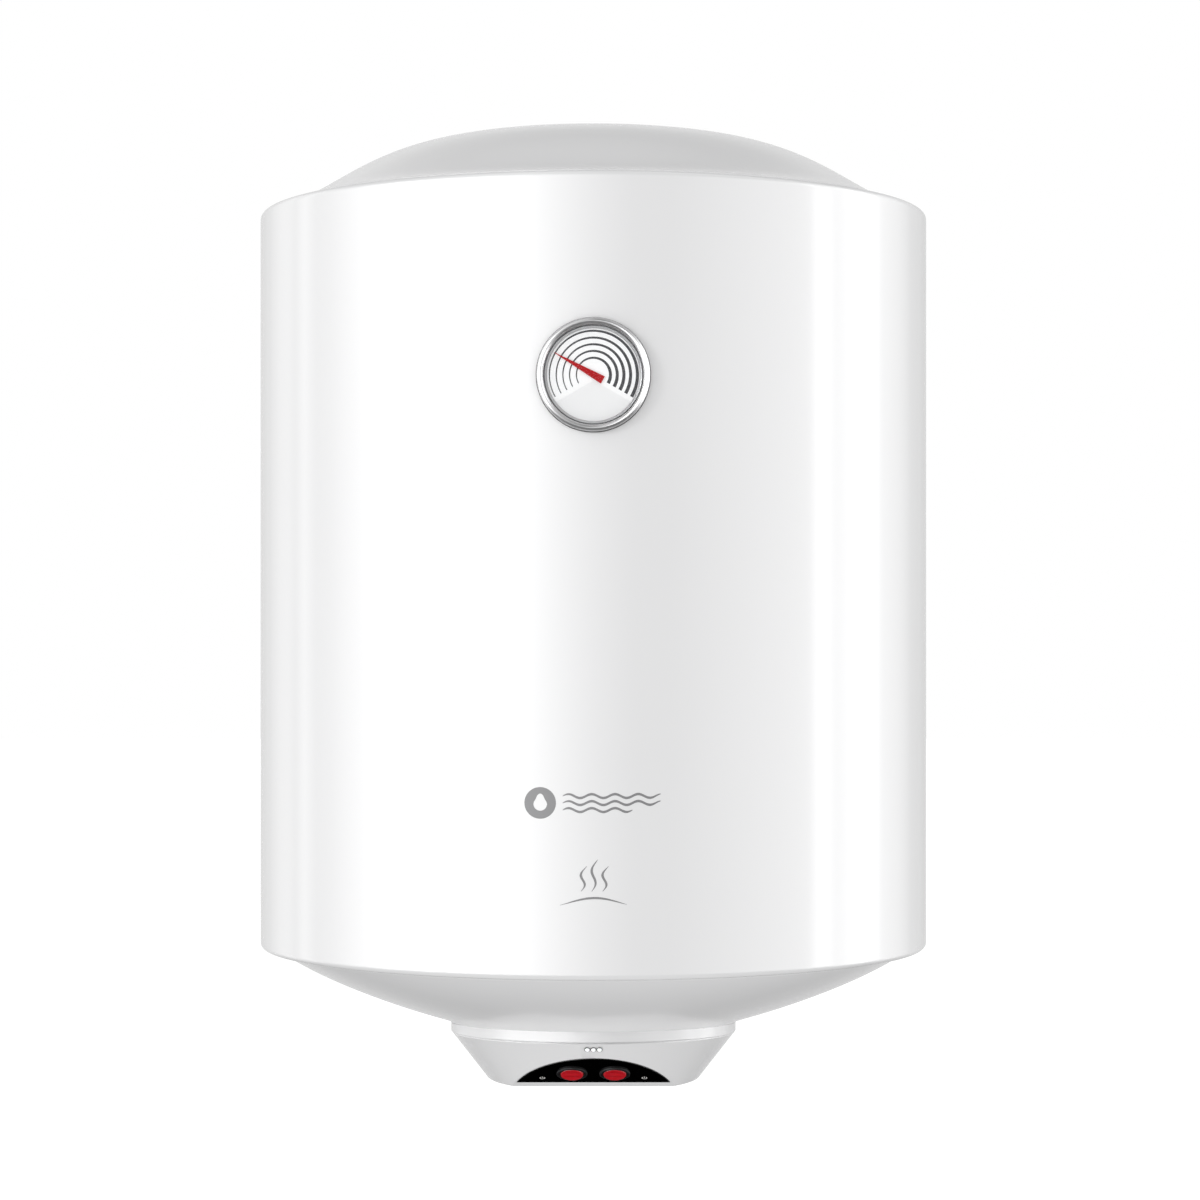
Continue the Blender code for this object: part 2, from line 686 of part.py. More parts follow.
def make_flange_group(axis):
    """Collar, gasket, flange and bolts that close the tank's port."""
    neck = PORT_RADIUS - SEAT_GAP
    collar_profile = [
        (COLLAR_BORE, COLLAR_FACE),
        (FLANGE_RADIUS, COLLAR_FACE),
        (FLANGE_RADIUS, COLLAR_TOP),
        (neck, COLLAR_TOP),
        (neck, COLLAR_TOP + COLLAR_NECK),
        (COLLAR_BORE, COLLAR_TOP + COLLAR_NECK),
    ]
    collar = turn("flange_collar", collar_profile, "steel", INSIDE_SIDES, parent=axis)
    gasket_top = COLLAR_FACE - SEAT_GAP
    gasket_bore = COLLAR_BORE + LOOSE_GAP
    gasket_low = gasket_top - GASKET_THICKNESS
    gasket = ring_profile(gasket_bore, gasket_bore + GASKET_WIDTH, gasket_low, gasket_top)
    turn("flange_gasket", gasket, "rubber", INSIDE_SIDES, parent=axis)
    disc = cylinder_profile(FLANGE_RADIUS, FLANGE_FACE, FLANGE_TOP)
    flange = turn("flange_plate", disc, "steel", INSIDE_SIDES, parent=axis)
    low = FLANGE_FACE - LOOSE_GAP
    clearance = BOLT_RADIUS + SEAT_GAP
    bolt_holes = [(*place, clearance, low, COLLAR_TOP + LOOSE_GAP) for place in bolt_places()]
    combine(collar, pins_tool("collar_hole_tool", bolt_holes, axis, FASTENER_SIDES))
    holes = [(*place, radius, low, FLANGE_TOP + LOOSE_GAP) for place, radius in flange_holes()]
    combine(flange, pins_tool("flange_hole_tool", bolt_holes + holes, axis, FASTENER_SIDES))
    length = FLANGE_TOP - FLANGE_FACE + GASKET_THICKNESS + BOLT_REACH
    for number, place in enumerate(bolt_places(), 1):
        make_bolt(f"flange_bolt_{number}", axis, (*place, FLANGE_FACE - SEAT_GAP), length)
    return flange


def make_bolt(name, axis, location, length):
    """Hexagon bolt with its head below and its shank up."""
    head = turned(cylinder_profile(BOLT_HEAD_RADIUS, -BOLT_HEAD_HEIGHT, 0), HEX_SIDES)
    bolt = add_object(name, head, "steel", axis, location, smooth=False)
    shank = cylinder_profile(BOLT_RADIUS, -BOLT_HEAD_HEIGHT / 2, length)
    tool = turn(f"{name}_shank_tool", shank, "steel", FASTENER_SIDES, parent=axis, location=location)
    combine(bolt, tool, "UNION")
    return bolt


def flange_holes():
    """Place and radius of the holes for what passes through the flange."""
    found = []
    for _, _, side in element_places():
        for sign in (-1, 1):
            found.append(((sign * ELEMENT_PITCH / 2, side), ELEMENT_RADIUS + SEAT_GAP))
    found.append(((POCKET_X, 0), POCKET_RADIUS + SEAT_GAP))
    found.append(((ANODE_X, 0), ANODE_STUD_RADIUS + SEAT_GAP))
    return found


def make_elements(axis):
    """Two hairpin heating elements that stand in the tank, with their terminals below the flange."""
    half = ELEMENT_PITCH / 2
    foot = FLANGE_FACE - TERMINAL_LENGTH
    for label, length, side in element_places():
        crown = FLANGE_TOP + length - half
        bend = arc((0, crown), half, 180, 0, ELEMENT_BEND_STEPS)
        route = [(-half, side, foot), *[(x, side, z) for x, z in bend], (half, side, foot)]
        rod_along(f"heating_element_{label}", route, ELEMENT_RADIUS, "steel", parent=axis)


def make_pocket_and_anode(axis):
    """Dry pocket for the thermostat's probe, and the sacrificial anode on its stud."""
    tip = FLANGE_TOP + POCKET_LENGTH
    foot = FLANGE_FACE - SEAT_GAP
    bore = POCKET_RADIUS - POCKET_WALL
    pocket = [
        (0, tip),
        (POCKET_RADIUS, tip - POCKET_WALL),
        (POCKET_RADIUS, foot),
        (bore, foot),
        (bore, tip - 2 * POCKET_WALL),
        (0, tip - 2 * POCKET_WALL),
    ]
    turn("thermostat_pocket", pocket, "steel", SMALL_SIDES, parent=axis, location=(POCKET_X, 0, 0))
    base = FLANGE_TOP + 2 * ANODE_STUD_RADIUS
    rod = [
        (0, base),
        (ANODE_RADIUS - LOOSE_GAP, base),
        (ANODE_RADIUS, base + LOOSE_GAP),
        (ANODE_RADIUS, base + ANODE_LENGTH - 2 * LOOSE_GAP),
        (ANODE_RADIUS - 2 * LOOSE_GAP, base + ANODE_LENGTH),
        (0, base + ANODE_LENGTH),
    ]
    turn("anode_rod", rod, "magnesium", SMALL_SIDES, parent=axis, location=(ANODE_X, 0, 0))
    stud_top = base - SEAT_GAP
    stud = cylinder_profile(ANODE_STUD_RADIUS, FLANGE_FACE - 3 * ANODE_STUD_RADIUS, stud_top)
    turn("anode_stud", stud, "steel", FASTENER_SIDES, parent=axis, location=(ANODE_X, 0, 0))
    nut_top = FLANGE_FACE - SEAT_GAP
    nut_radius = 2 * ANODE_STUD_RADIUS
    nut = ring_profile(ANODE_STUD_RADIUS + SEAT_GAP, nut_radius, nut_top - nut_radius, nut_top)
    turn("anode_nut", nut, "brass", HEX_SIDES * 2, parent=axis, location=(ANODE_X, 0, 0))


def make_thermostat(axis):
    """Rod thermostat with its setting spindle and the cut-out's reset button, both facing down."""
    width, depth, height = THERMOSTAT_SIZE
    top = FLANGE_FACE - 2 * LOOSE_GAP
    middle = top - height / 2
    underside = top - height
    body = block(
        "thermostat_body",
        THERMOSTAT_SIZE,
        "grey_plastic",
        LOOSE_GAP,
        parent=axis,
        location=(POCKET_X, 0, middle),
    )
    spindle_x = POCKET_X - width / 5
    reset_x = POCKET_X + width / 4
    seat = SPINDLE_LENGTH / 2
    below = underside - LOOSE_GAP
    seats = [
        (spindle_x, 0, SPINDLE_RADIUS + SEAT_GAP, below, underside + seat + SEAT_GAP),
        (reset_x, 0, RESET_RADIUS + SEAT_GAP, below, underside + RESET_LENGTH),
    ]
    combine(body, pins_tool("thermostat_seat_tool", seats, axis))
    probe_top = FLANGE_TOP + POCKET_LENGTH - 4 * POCKET_WALL
    probe = cylinder_profile(POCKET_RADIUS - POCKET_WALL - SEAT_GAP, top + SEAT_GAP, probe_top)
    turn("thermostat_probe", probe, "brass", FASTENER_SIDES, parent=axis, location=(POCKET_X, 0, 0))
    spindle = turn(
        "thermostat_spindle",
        cylinder_profile(SPINDLE_RADIUS, -seat, seat),
        "white_plastic",
        SMALL_SIDES,
        parent=axis,
        location=(spindle_x, 0, underside),
    )
    slot_size = (2 * SPINDLE_RADIUS + LOOSE_GAP, LOOSE_GAP, 2 * LOOSE_GAP)
    slot_place = (spindle_x, 0, underside - seat)
    slot = block("spindle_slot_tool", slot_size, "steel", parent=axis, location=slot_place)
    combine(spindle, slot)
    reset = [
        (0, -RESET_LENGTH / 2),
        (RESET_RADIUS - SEAT_GAP, -RESET_LENGTH / 2),
        (RESET_RADIUS, -RESET_LENGTH / 2 + SEAT_GAP),
        (RESET_RADIUS, RESET_LENGTH / 2),
        (0, RESET_LENGTH / 2),
    ]
    button_place = (reset_x, 0, underside)
    turn("cutout_reset_button", reset, "red_plastic", parent=axis, location=button_place)


# ---------------------------------------------------------------- pipes


def nipple_profile(inside):
    """Threaded nipple: ridges on its lower end, a plain wall above, its mouth inside the tank."""
    root = PIPE_RADIUS - THREAD_DEPTH
    outside = [(PIPE_BORE, pipe_end()), (root, pipe_end())]
    for number in range(THREAD_TURNS):
        foot = pipe_end() + THREAD_PITCH * (number + 0.2)
        outside += [(root, foot), (PIPE_RADIUS, foot + THREAD_PITCH * 0.45)]
    plain = boss_face() - PIPE_RING_HEIGHT - LOOSE_GAP
    outside += [(root, pipe_end() + THREAD_PITCH * (THREAD_TURNS + 0.2)), (PIPE_RADIUS, plain)]
    return [*outside, (PIPE_RADIUS, inside), (PIPE_BORE, inside)]


def make_pipes(axis):
    """Both nipples, their coloured rings, the inlet's diffuser and the outlet's riser."""
    head_face = HEAD_LOW - head_height(math.hypot(PIPE_SPACING / 2, PIPE_BACK) + PIPE_RADIUS)
    inside = head_face + PIPE_RISE
    for label, colour, place in pipe_places():
        turn(f"{label}_nipple", nipple_profile(inside), "steel", parent=axis, location=(*place, 0))
        ring_top = boss_face() - SEAT_GAP
        ring = [
            (PIPE_RADIUS + SEAT_GAP, ring_top - PIPE_RING_HEIGHT),
            (PIPE_RING_RADIUS - LOOSE_GAP, ring_top - PIPE_RING_HEIGHT),
            (PIPE_RING_RADIUS, ring_top - PIPE_RING_HEIGHT + LOOSE_GAP),
            (PIPE_RING_RADIUS, ring_top),
            (PIPE_RADIUS + SEAT_GAP, ring_top),
        ]
        turn(f"{label}_ring", ring, colour, SMALL_SIDES, parent=axis, location=(*place, 0))
    places = {label: place for label, _, place in pipe_places()}
    riser_top = TANK_TOP - RISER_HEADROOM
    riser = ring_profile(RISER_RADIUS - RISER_WALL, RISER_RADIUS, inside - PIPE_RISE, riser_top)
    turn("hot_outlet_riser", riser, "steel", SMALL_SIDES, parent=axis, location=(*places["hot_outlet"], 0))
    make_diffuser(axis, places["cold_inlet"], inside)


def make_diffuser(axis, place, foot):
    """Plastic cap on the cold inlet with side windows that turn the stream sideways."""
    spigot = PIPE_BORE - SEAT_GAP
    bore = spigot - 1.5 * MM
    head = PIPE_RADIUS
    top = foot + DIFFUSER_LENGTH
    profile = [
        (0, top),
        (head, top),
        (head, foot + SEAT_GAP),
        (spigot, foot + SEAT_GAP),
        (spigot, foot - PIPE_RISE / 2),
        (bore, foot - PIPE_RISE / 2),
        (bore, top - 2 * MM),
        (0, top - 2 * MM),
    ]
    diffuser = turn("inlet_diffuser", profile, "white_plastic", parent=axis, location=(*place, 0))
    window = (4 * head, bore, DIFFUSER_LENGTH / 4)
    for number, height in enumerate((foot + DIFFUSER_LENGTH * 0.35, foot + DIFFUSER_LENGTH * 0.7)):
        window_place = (*place, height)
        tool = block(f"diffuser_window_tool_{number}", window, "steel", parent=axis, location=window_place)
        combine(diffuser, tool)


# ---------------------------------------------------------------- control housing


def tilt_band(bm):
    """Raises the band's lower edge in proportion to its distance forward."""
    for vert in bm.verts:
        if abs(vert.co.z - BAND_LOW) < MM / 10:
            vert.co.z += HOUSING_TILT * -vert.co.y


def cone_radius(height, forward):
    """The housing's outer radius at a height, at a distance forward of its own axis."""
    full = BAND_LOW - HOUSING_FOOT + HOUSING_TILT * forward
    share = (height - HOUSING_FOOT) / full
    return HOUSING_FOOT_RADIUS + (HOUSING_TOP_RADIUS - HOUSING_FOOT_RADIUS) * share


def facet_point(up):
    """(forward, height) of a point on the facet, measured up its slope from its lower edge."""
    return FACET_FORWARD + up * math.cos(FACET_ANGLE), HOUSING_FOOT + up * math.sin(FACET_ANGLE)


def facet_half_width(up, inset):
    """Half the facet's width inside its border at a distance up its slope; negative past the top."""
    forward, height = facet_point(up)
    radius = cone_radius(height, forward) - inset
    return math.sqrt(radius**2 - forward**2) if radius > forward else -1.0


def facet_outline(foot, inset):
    """The arched outline inside the facet: a straight foot and the curve where the facet meets the cone."""
    low, high = foot, 4 * HOUSING_FOOT_RADIUS
    for _ in range(50):
        middle = (low + high) / 2
        if facet_half_width(middle, inset) > 0:
            low = middle
        else:
            high = middle
    crown = low
    right = []
    for step in range(PANEL_STEPS):
        up = foot + (crown - foot) * math.sin(RIGHT_ANGLE * step / PANEL_STEPS)
        right.append((facet_half_width(up, inset), up))
    left = [(-x, up) for x, up in reversed(right)]
    return right + [(0.0, crown)] + left


def housing_solid(name, shrink, floor, housing_axis):
    """The housing's outer form run up into the dome, or the same form shrunk for its cavity."""
    foot_radius = HOUSING_FOOT_RADIUS - shrink
    slope = math.atan2(HOUSING_TOP_RADIUS - HOUSING_FOOT_RADIUS, BAND_LOW - HOUSING_FOOT)
    reach = HOUSING_FILLET * math.tan((RIGHT_ANGLE - slope) / 2)
    centre = (foot_radius - reach, floor + HOUSING_FILLET)
    foot_arc = arc(centre, HOUSING_FILLET, -90, -math.degrees(slope), 2)
    band = HOUSING_TOP_RADIUS - shrink
    top = SHELL_BOTTOM - HOUSING_FORWARD
    profile = [(0, floor), *foot_arc, (band, BAND_LOW), (band, top), (0, top)]
    bm = turned(profile, CASING_SIDES)
    tilt_band(bm)
    return add_object(name, bm, "white_plastic", housing_axis)


def facet_slab(name, facet, low):
    """A large block that takes away everything in front of the facet from a depth outwards."""
    size = 3 * HOUSING_TOP_RADIUS
    return block(name, (size, size, size), "steel", parent=facet, location=(0, 0, low + size / 2))


def make_housing(axis, housing_axis, facet, lamp_frame):
    """Hollow bowl that closes the underside, with a window for the panel and two screw posts."""
    housing = housing_solid("control_housing", 0, HOUSING_FOOT, housing_axis)
    combine(housing, facet_slab("facet_tool", facet, 0))
    cavity = housing_solid("cavity_tool", HOUSING_WALL * 1.25, HOUSING_FOOT + HOUSING_WALL, housing_axis)
    combine(cavity, facet_slab("cavity_facet_tool", facet, -HOUSING_WALL))
    posts = []
    wells = []
    holes = []
    for place in post_places():
        top = post_face(place) - SEAT_GAP
        posts.append((*place, POST_RADIUS, HOUSING_FOOT, top))
        wells.append((*place, SCREW_HEAD_RADIUS + SEAT_GAP, HOUSING_FOOT - LOOSE_GAP, top - POST_CAP))
        holes.append((*place, SCREW_RADIUS + SEAT_GAP, HOUSING_FOOT, top + LOOSE_GAP))
    combine(cavity, pins_tool("post_tool", posts, axis))
    combine(housing, cavity)
    dome = [*bottom_profile(BOTTOM_RINGS, -SEAT_GAP), (SHELL_RADIUS, SHELL_BOTTOM), (0, SHELL_BOTTOM)]
    combine(housing, turn("dome_tool", dome, "steel", CASING_SIDES, parent=axis))
    combine(housing, pins_tool("well_tool", wells, axis))
    combine(housing, pins_tool("well_hole_tool", holes, axis, FASTENER_SIDES))
    rim = facet_outline(PANEL_FOOT - SEAT_GAP, PANEL_BORDER - SEAT_GAP)
    window = extruded("window_tool", rim, -2 * HOUSING_WALL, HOUSING_WALL, "steel", parent=facet)
    combine(housing, window)
    hole = LAMP_RADIUS + SEAT_GAP / 2
    lamps = [(x, 0, hole, -2 * HOUSING_WALL, HOUSING_WALL) for x in lamp_places()]
    combine(housing, pins_tool("lamp_hole_tool", lamps, lamp_frame, FASTENER_SIDES))
    return housing


def lamp_places():
    """X of each indicator lamp."""
    return (-LAMP_PITCH, 0, LAMP_PITCH)


def make_panel(facet):
    """Black panel in the housing's window, with two round switches."""
    outline = facet_outline(PANEL_FOOT, PANEL_BORDER)
    back = PANEL_PROUD - PANEL_THICKNESS
    panel = extruded("switch_panel", outline, back, PANEL_PROUD, "black_gloss", parent=facet)
    holes = []
    for label, sign in (("left", -1), ("right", 1)):
        centre = (sign * SWITCH_SIDE, PANEL_FOOT + SWITCH_UP, 0)
        holes.append((*centre[:2], SWITCH_BARREL + SEAT_GAP, -2 * PANEL_THICKNESS, PANEL_THICKNESS))
        make_switch(label, facet, centre)
    combine(panel, pins_tool("switch_hole_tool", holes, facet))


def make_switch(label, facet, centre):
    """Round rocker switch: a barrel with a bezel, and a rocker that tips about X inside it."""
    seat = PANEL_PROUD + SEAT_GAP
    face = seat + SWITCH_BEZEL_HEIGHT
    floor = seat - SWITCH_DEPTH
    bore_floor = floor + SWITCH_FLOOR
    profile = [
        (0, floor),
        (SWITCH_BARREL, floor),
        (SWITCH_BARREL, seat),
        (SWITCH_BEZEL, seat),
        (SWITCH_BEZEL, face - SEAT_GAP),
        (SWITCH_BEZEL - SEAT_GAP, face),
        (SWITCH_BORE, face),
        (SWITCH_BORE, bore_floor),
        (0, bore_floor),
    ]
    turn(f"{label}_switch_body", profile, "black_gloss", SMALL_SIDES, parent=facet, location=centre)
    pivot = (centre[0], centre[1], face - ROCKER_SINK)
    cheek = []
    for height in steps_between(-ROCKER_HALF, ROCKER_HALF, 4):
        cheek.append((math.sqrt(ROCKER_RADIUS**2 - height**2), height))
    rocker = [(0, -ROCKER_HALF), *cheek, (0, ROCKER_HALF)]
    turn(
        f"{label}_rocker",
        rocker,
        "red_lamp",
        SMALL_SIDES,
        parent=facet,
        location=pivot,
        rotation=(-ROCKER_TILT, 0, 0),
    )


def make_lamps(lamp_frame):
    """Three indicator lenses in a row above the panel."""
    for label, x in zip(("left", "middle", "right"), lamp_places()):
        profile = [
            (0, LAMP_PROUD - LAMP_LENGTH),
            (LAMP_RADIUS, LAMP_PROUD - LAMP_LENGTH),
            (LAMP_RADIUS, 0),
            (LAMP_RADIUS * 0.7, LAMP_PROUD * 0.7),
            (0, LAMP_PROUD),
        ]
        name = f"indicator_lens_{label}"
        turn(name, profile, "clear_plastic", FASTENER_SIDES, parent=lamp_frame, location=(x, 0, 0))


def make_housing_screws(axis):
    """Two pan-head screws up through the housing's posts into the bottom cover."""
    for number, place in enumerate(post_places(), 1):
        seat = post_face(place) - SEAT_GAP - POST_CAP - SEAT_GAP
        profile = [
            (0, seat - SCREW_HEAD_HEIGHT),
            (SCREW_HEAD_RADIUS * 0.7, seat - SCREW_HEAD_HEIGHT),
            (SCREW_HEAD_RADIUS, seat - SCREW_HEAD_HEIGHT * 0.5),
            (SCREW_HEAD_RADIUS, seat),
            (SCREW_RADIUS, seat),
            (SCREW_RADIUS, seat + SCREW_REACH - SCREW_RADIUS),
            (0, seat + SCREW_REACH),
        ]
        turn(f"housing_screw_{number}", profile, "steel", FASTENER_SIDES, parent=axis, location=(*place, 0))


def make_gland(axis):
    """Cord gland in the bottom cover behind the housing, with its locking nut inside."""
    seat = boss_face() - SEAT_GAP
    nose = seat - GLAND_HEX_HEIGHT - GLAND_NOSE
    place = (0, GLAND_BACK, 0)
    inner = bottom_dome(GLAND_BACK + PIPE_BOSS_RADIUS - COVER_WALL) + BOSS_TALL + SEAT_GAP
    tip = inner + GLAND_INSIDE
    body = [
        (GLAND_BORE, nose),
        (GLAND_THREAD - 2 * LOOSE_GAP, nose),
        (GLAND_THREAD + LOOSE_GAP, seat - GLAND_HEX_HEIGHT),
        (GLAND_HEX, seat - GLAND_HEX_HEIGHT),
        (GLAND_HEX, seat),
        (GLAND_THREAD, seat),
        (GLAND_THREAD, tip),
        (GLAND_BORE, tip),
    ]
    turn("cord_gland", body, "grey_plastic", HEX_SIDES * 2, parent=axis, location=place)
    nut_bore = GLAND_THREAD + SEAT_GAP * 1.5
    nut = ring_profile(nut_bore, GLAND_HEX + LOOSE_GAP, inner, inner + GLAND_NUT_HEIGHT)
    turn("cord_gland_nut", nut, "grey_plastic", HEX_SIDES * 2, parent=axis, location=place)


def make_terminal_block(axis):
    """Terminal block that stands on the cover's inner face beside the gland."""
    foot = bottom_dome(BLOCK_BACK + BLOCK_SIZE[1] / 2 + BLOCK_SIZE[0] / 4) + COVER_WALL + LOOSE_GAP
    middle = foot + BLOCK_SIZE[2] / 2
    place = (0, BLOCK_BACK, middle)
    body = block("terminal_block", BLOCK_SIZE, "grey_plastic", 0.8 * MM, parent=axis, location=place)
    pitch = BLOCK_SIZE[0] / TERMINAL_WAYS
    holes = []
    for number in range(TERMINAL_WAYS):
        x = pitch * (number - (TERMINAL_WAYS - 1) / 2)
        holes.append((x, BLOCK_BACK, pitch / 4, middle, foot + 2 * BLOCK_SIZE[2]))
    combine(body, pins_tool("terminal_tool", holes, axis, FASTENER_SIDES))


# ---------------------------------------------------------------- thermometer


def make_gauge(gauge, axis):
    """Dial thermometer set in the shell: case, dial, needle, lens, ring and bezel."""
    seat_bore = BEZEL_BORE + LENS_SEAT
    lens_top = LENS_FLOOR + LENS_THICKNESS
    rim = BEZEL_RADIUS - BEZEL_ROUND
    foot = -(SHELL_RADIUS - math.sqrt(SHELL_RADIUS**2 - BEZEL_RADIUS**2)) - LOOSE_GAP
    bezel_profile = [
        (seat_bore + SEAT_GAP, foot),
        (BEZEL_RADIUS, foot),
        *arc((rim, BEZEL_HEIGHT - BEZEL_ROUND), BEZEL_ROUND, 0, 90, 3),
        (BEZEL_BORE, lens_top + 2 * SEAT_GAP),
        (BEZEL_BORE, lens_top + SEAT_GAP),
        (seat_bore + SEAT_GAP, lens_top + SEAT_GAP),
    ]
    bezel = turn("thermometer_bezel", bezel_profile, "chrome", INSIDE_SIDES, parent=gauge)
    skin = SHELL_RADIUS + SEAT_GAP
    low, high = GAUGE_Z - 2 * BEZEL_RADIUS, GAUGE_Z + 2 * BEZEL_RADIUS
    seat = pin_tool("bezel_seat_tool", skin, low, high, axis, sides=2 * CASING_SIDES)
    combine(bezel, seat)
    lens = cylinder_profile(seat_bore, LENS_FLOOR, lens_top)
    turn("thermometer_lens", lens, "clear_plastic", INSIDE_SIDES, parent=gauge)
    ring = [
        (DIAL_FACE_RADIUS, DIAL_THICKNESS + SEAT_GAP),
        (BEZEL_BORE - SEAT_GAP, DIAL_THICKNESS + SEAT_GAP),
        (BEZEL_BORE - SEAT_GAP, LENS_FLOOR - SEAT_GAP),
        (DIAL_FACE_RADIUS + LOOSE_GAP, LENS_FLOOR - SEAT_GAP),
    ]
    turn("dial_ring", ring, "chrome", INSIDE_SIDES, parent=gauge)
    dial = ring_profile(SHAFT_RADIUS + SEAT_GAP, GAUGE_CASE_RADIUS, 0, DIAL_THICKNESS)
    turn("thermometer_dial", dial, "white_plastic", INSIDE_SIDES, parent=gauge)
    make_gauge_case(gauge)
    make_needle(gauge)
    make_coil(gauge)


def make_gauge_case(gauge):
    """Cup behind the dial, and the stem that carries the tank's heat to it."""
    inner = GAUGE_CASE_RADIUS - GAUGE_CASE_WALL
    mouth = -SEAT_GAP
    floor = -GAUGE_CASE_DEPTH
    case = [
        (0, floor),
        (GAUGE_CASE_RADIUS, floor),
        (GAUGE_CASE_RADIUS, mouth),
        (inner, mouth),
        (inner, floor + GAUGE_CASE_WALL),
        (0, floor + GAUGE_CASE_WALL),
    ]
    turn("thermometer_case", case, "grey_plastic", INSIDE_SIDES, parent=gauge)
    stem_foot = TANK_RADIUS - SHELL_RADIUS + SEAT_GAP
    stem = cylinder_profile(STEM_RADIUS, stem_foot, floor - SEAT_GAP)
    turn("thermometer_stem", stem, "brass", FASTENER_SIDES, parent=gauge)


def make_needle(gauge):
    """Tapered pointer on the shaft that turns it, with its origin on the gauge's axis."""
    half = NEEDLE_WIDTH / 2
    point = NEEDLE_THICKNESS / 4
    outline = [(-NEEDLE_TAIL, -half), (NEEDLE_TIP, -point), (NEEDLE_TIP, point), (-NEEDLE_TAIL, half)]
    top = NEEDLE_FLOOR + NEEDLE_THICKNESS
    turned_by = (0, 0, NEEDLE_REST)
    needle = extruded(
        "thermometer_needle",
        outline,
        NEEDLE_FLOOR,
        top,
        "red_plastic",
        parent=gauge,
        rotation=turned_by,
    )
    floor = -GAUGE_CASE_DEPTH + GAUGE_CASE_WALL + LOOSE_GAP
    middle = NEEDLE_FLOOR + NEEDLE_THICKNESS / 2
    shaft = pin_tool("needle_shaft_tool", SHAFT_RADIUS, floor, middle, gauge, sides=FASTENER_SIDES)
    combine(needle, shaft, "UNION")


def make_coil(gauge):
    """Bimetal spiral in the case, wound in a flat strip round the shaft."""
    thick, tall = COIL_STRIP
    start = SHAFT_RADIUS + LOOSE_GAP
    steps = COIL_TURNS * FASTENER_SIDES
    middle = -GAUGE_CASE_DEPTH / 2
    bm = bmesh.new()
    rows = []
    for step in range(steps + 1):
        angle = FULL_TURN * COIL_TURNS * step / steps
        radius = start + COIL_PITCH * angle / FULL_TURN
        across = Vector((math.cos(angle), math.sin(angle), 0))
        outer = radius + thick
        corners = ((radius, -tall / 2), (outer, -tall / 2), (outer, tall / 2), (radius, tall / 2))
        rows.append([bm.verts.new(across * out + Vector((0, 0, middle + up))) for out, up in corners])
    for first, second in zip(rows, rows[1:]):
        for corner in range(4):
            following = (corner + 1) % 4
            bm.faces.new((first[corner], first[following], second[following], second[corner]))
    bm.faces.new(rows[0])
    bm.faces.new(rows[-1])
    add_object("bimetal_coil", bm, "brass", gauge, smooth=False)


# ---------------------------------------------------------------- wall fixings


def leg_back(clearance):
    """Y of the leg's inner end, against the tank."""
    inner = LEG_SPACING / 2 - LEG_THICKNESS / 2 - clearance
    return AXIS_Y + math.sqrt(TANK_RADIUS**2 - inner**2) + SEAT_GAP


def leg_tools():
    """Cutters for the legs' slots in the shell and the foam."""
    found = []
    for label, sign in (("left", -1), ("right", 1)):
        low, high = leg_back(LOOSE_GAP) - 2 * LOOSE_GAP, 0.0
        size = (LEG_THICKNESS + 2 * LOOSE_GAP, high - low, LEG_HEIGHT + 2 * LOOSE_GAP)
        place = (sign * LEG_SPACING / 2, (low + high) / 2, 0)
        found.append(block(f"{label}_leg_tool", size, "steel", location=place))
    return found


def stud_tool(name):
    """Cutter for the buffer's stud."""
    frame = add_frame(f"{name}_frame", (0, 0, SHELL_BOTTOM + BUFFER_RISE), (RIGHT_ANGLE, 0, 0))
    return pin_tool(name, BUFFER_STUD_RADIUS + LOOSE_GAP, 0, WALL_GAP + FOAM_SIDE + SHELL_SHEET, frame)


def make_bracket():
    """Slotted plate that hangs on two wall hooks; its rear face is the wall plane."""
    width, plate, height = BRACKET_SIZE
    bracket = block("wall_bracket", BRACKET_SIZE, "white_enamel", 0.5 * MM, location=(0, -plate / 2, 0))
    straight = SLOT_HEIGHT / 2 - SLOT_WIDTH / 2
    for label, sign in (("left", -1), ("right", 1)):
        outline = arc((0, straight), SLOT_WIDTH / 2, 0, 180, 6)
        outline += arc((0, -straight), SLOT_WIDTH / 2, 180, 360, 6)
        slot = extruded(
            f"{label}_slot_tool",
            outline,
            -plate,
            2 * plate,
            "steel",
            location=(sign * SLOT_SPACING / 2, 0, 0),
            rotation=(RIGHT_ANGLE, 0, 0),
        )
        combine(bracket, slot)


def make_legs():
    """Angle-section legs welded to the plate and the tank, which carry the heater's weight."""
    plate = BRACKET_SIZE[1]
    front = -plate - SEAT_GAP
    back = leg_back(0)
    for label, sign in (("left", -1), ("right", 1)):
        web = LEG_THICKNESS / 2
        outline = [
            (-web, back),
            (web, back),
            (web, front - LEG_THICKNESS),
            (web + LEG_FOOT * 0.5, front - LEG_THICKNESS),
            (web + LEG_FOOT * 0.5, front),
            (-web, front),
        ]
        if sign > 0:
            outline = [(-x, y) for x, y in outline]
        extruded(
            f"bracket_leg_{label}",
            outline,
            -LEG_HEIGHT / 2,
            LEG_HEIGHT / 2,
            "steel",
            location=(sign * LEG_SPACING / 2, 0, 0),
        )


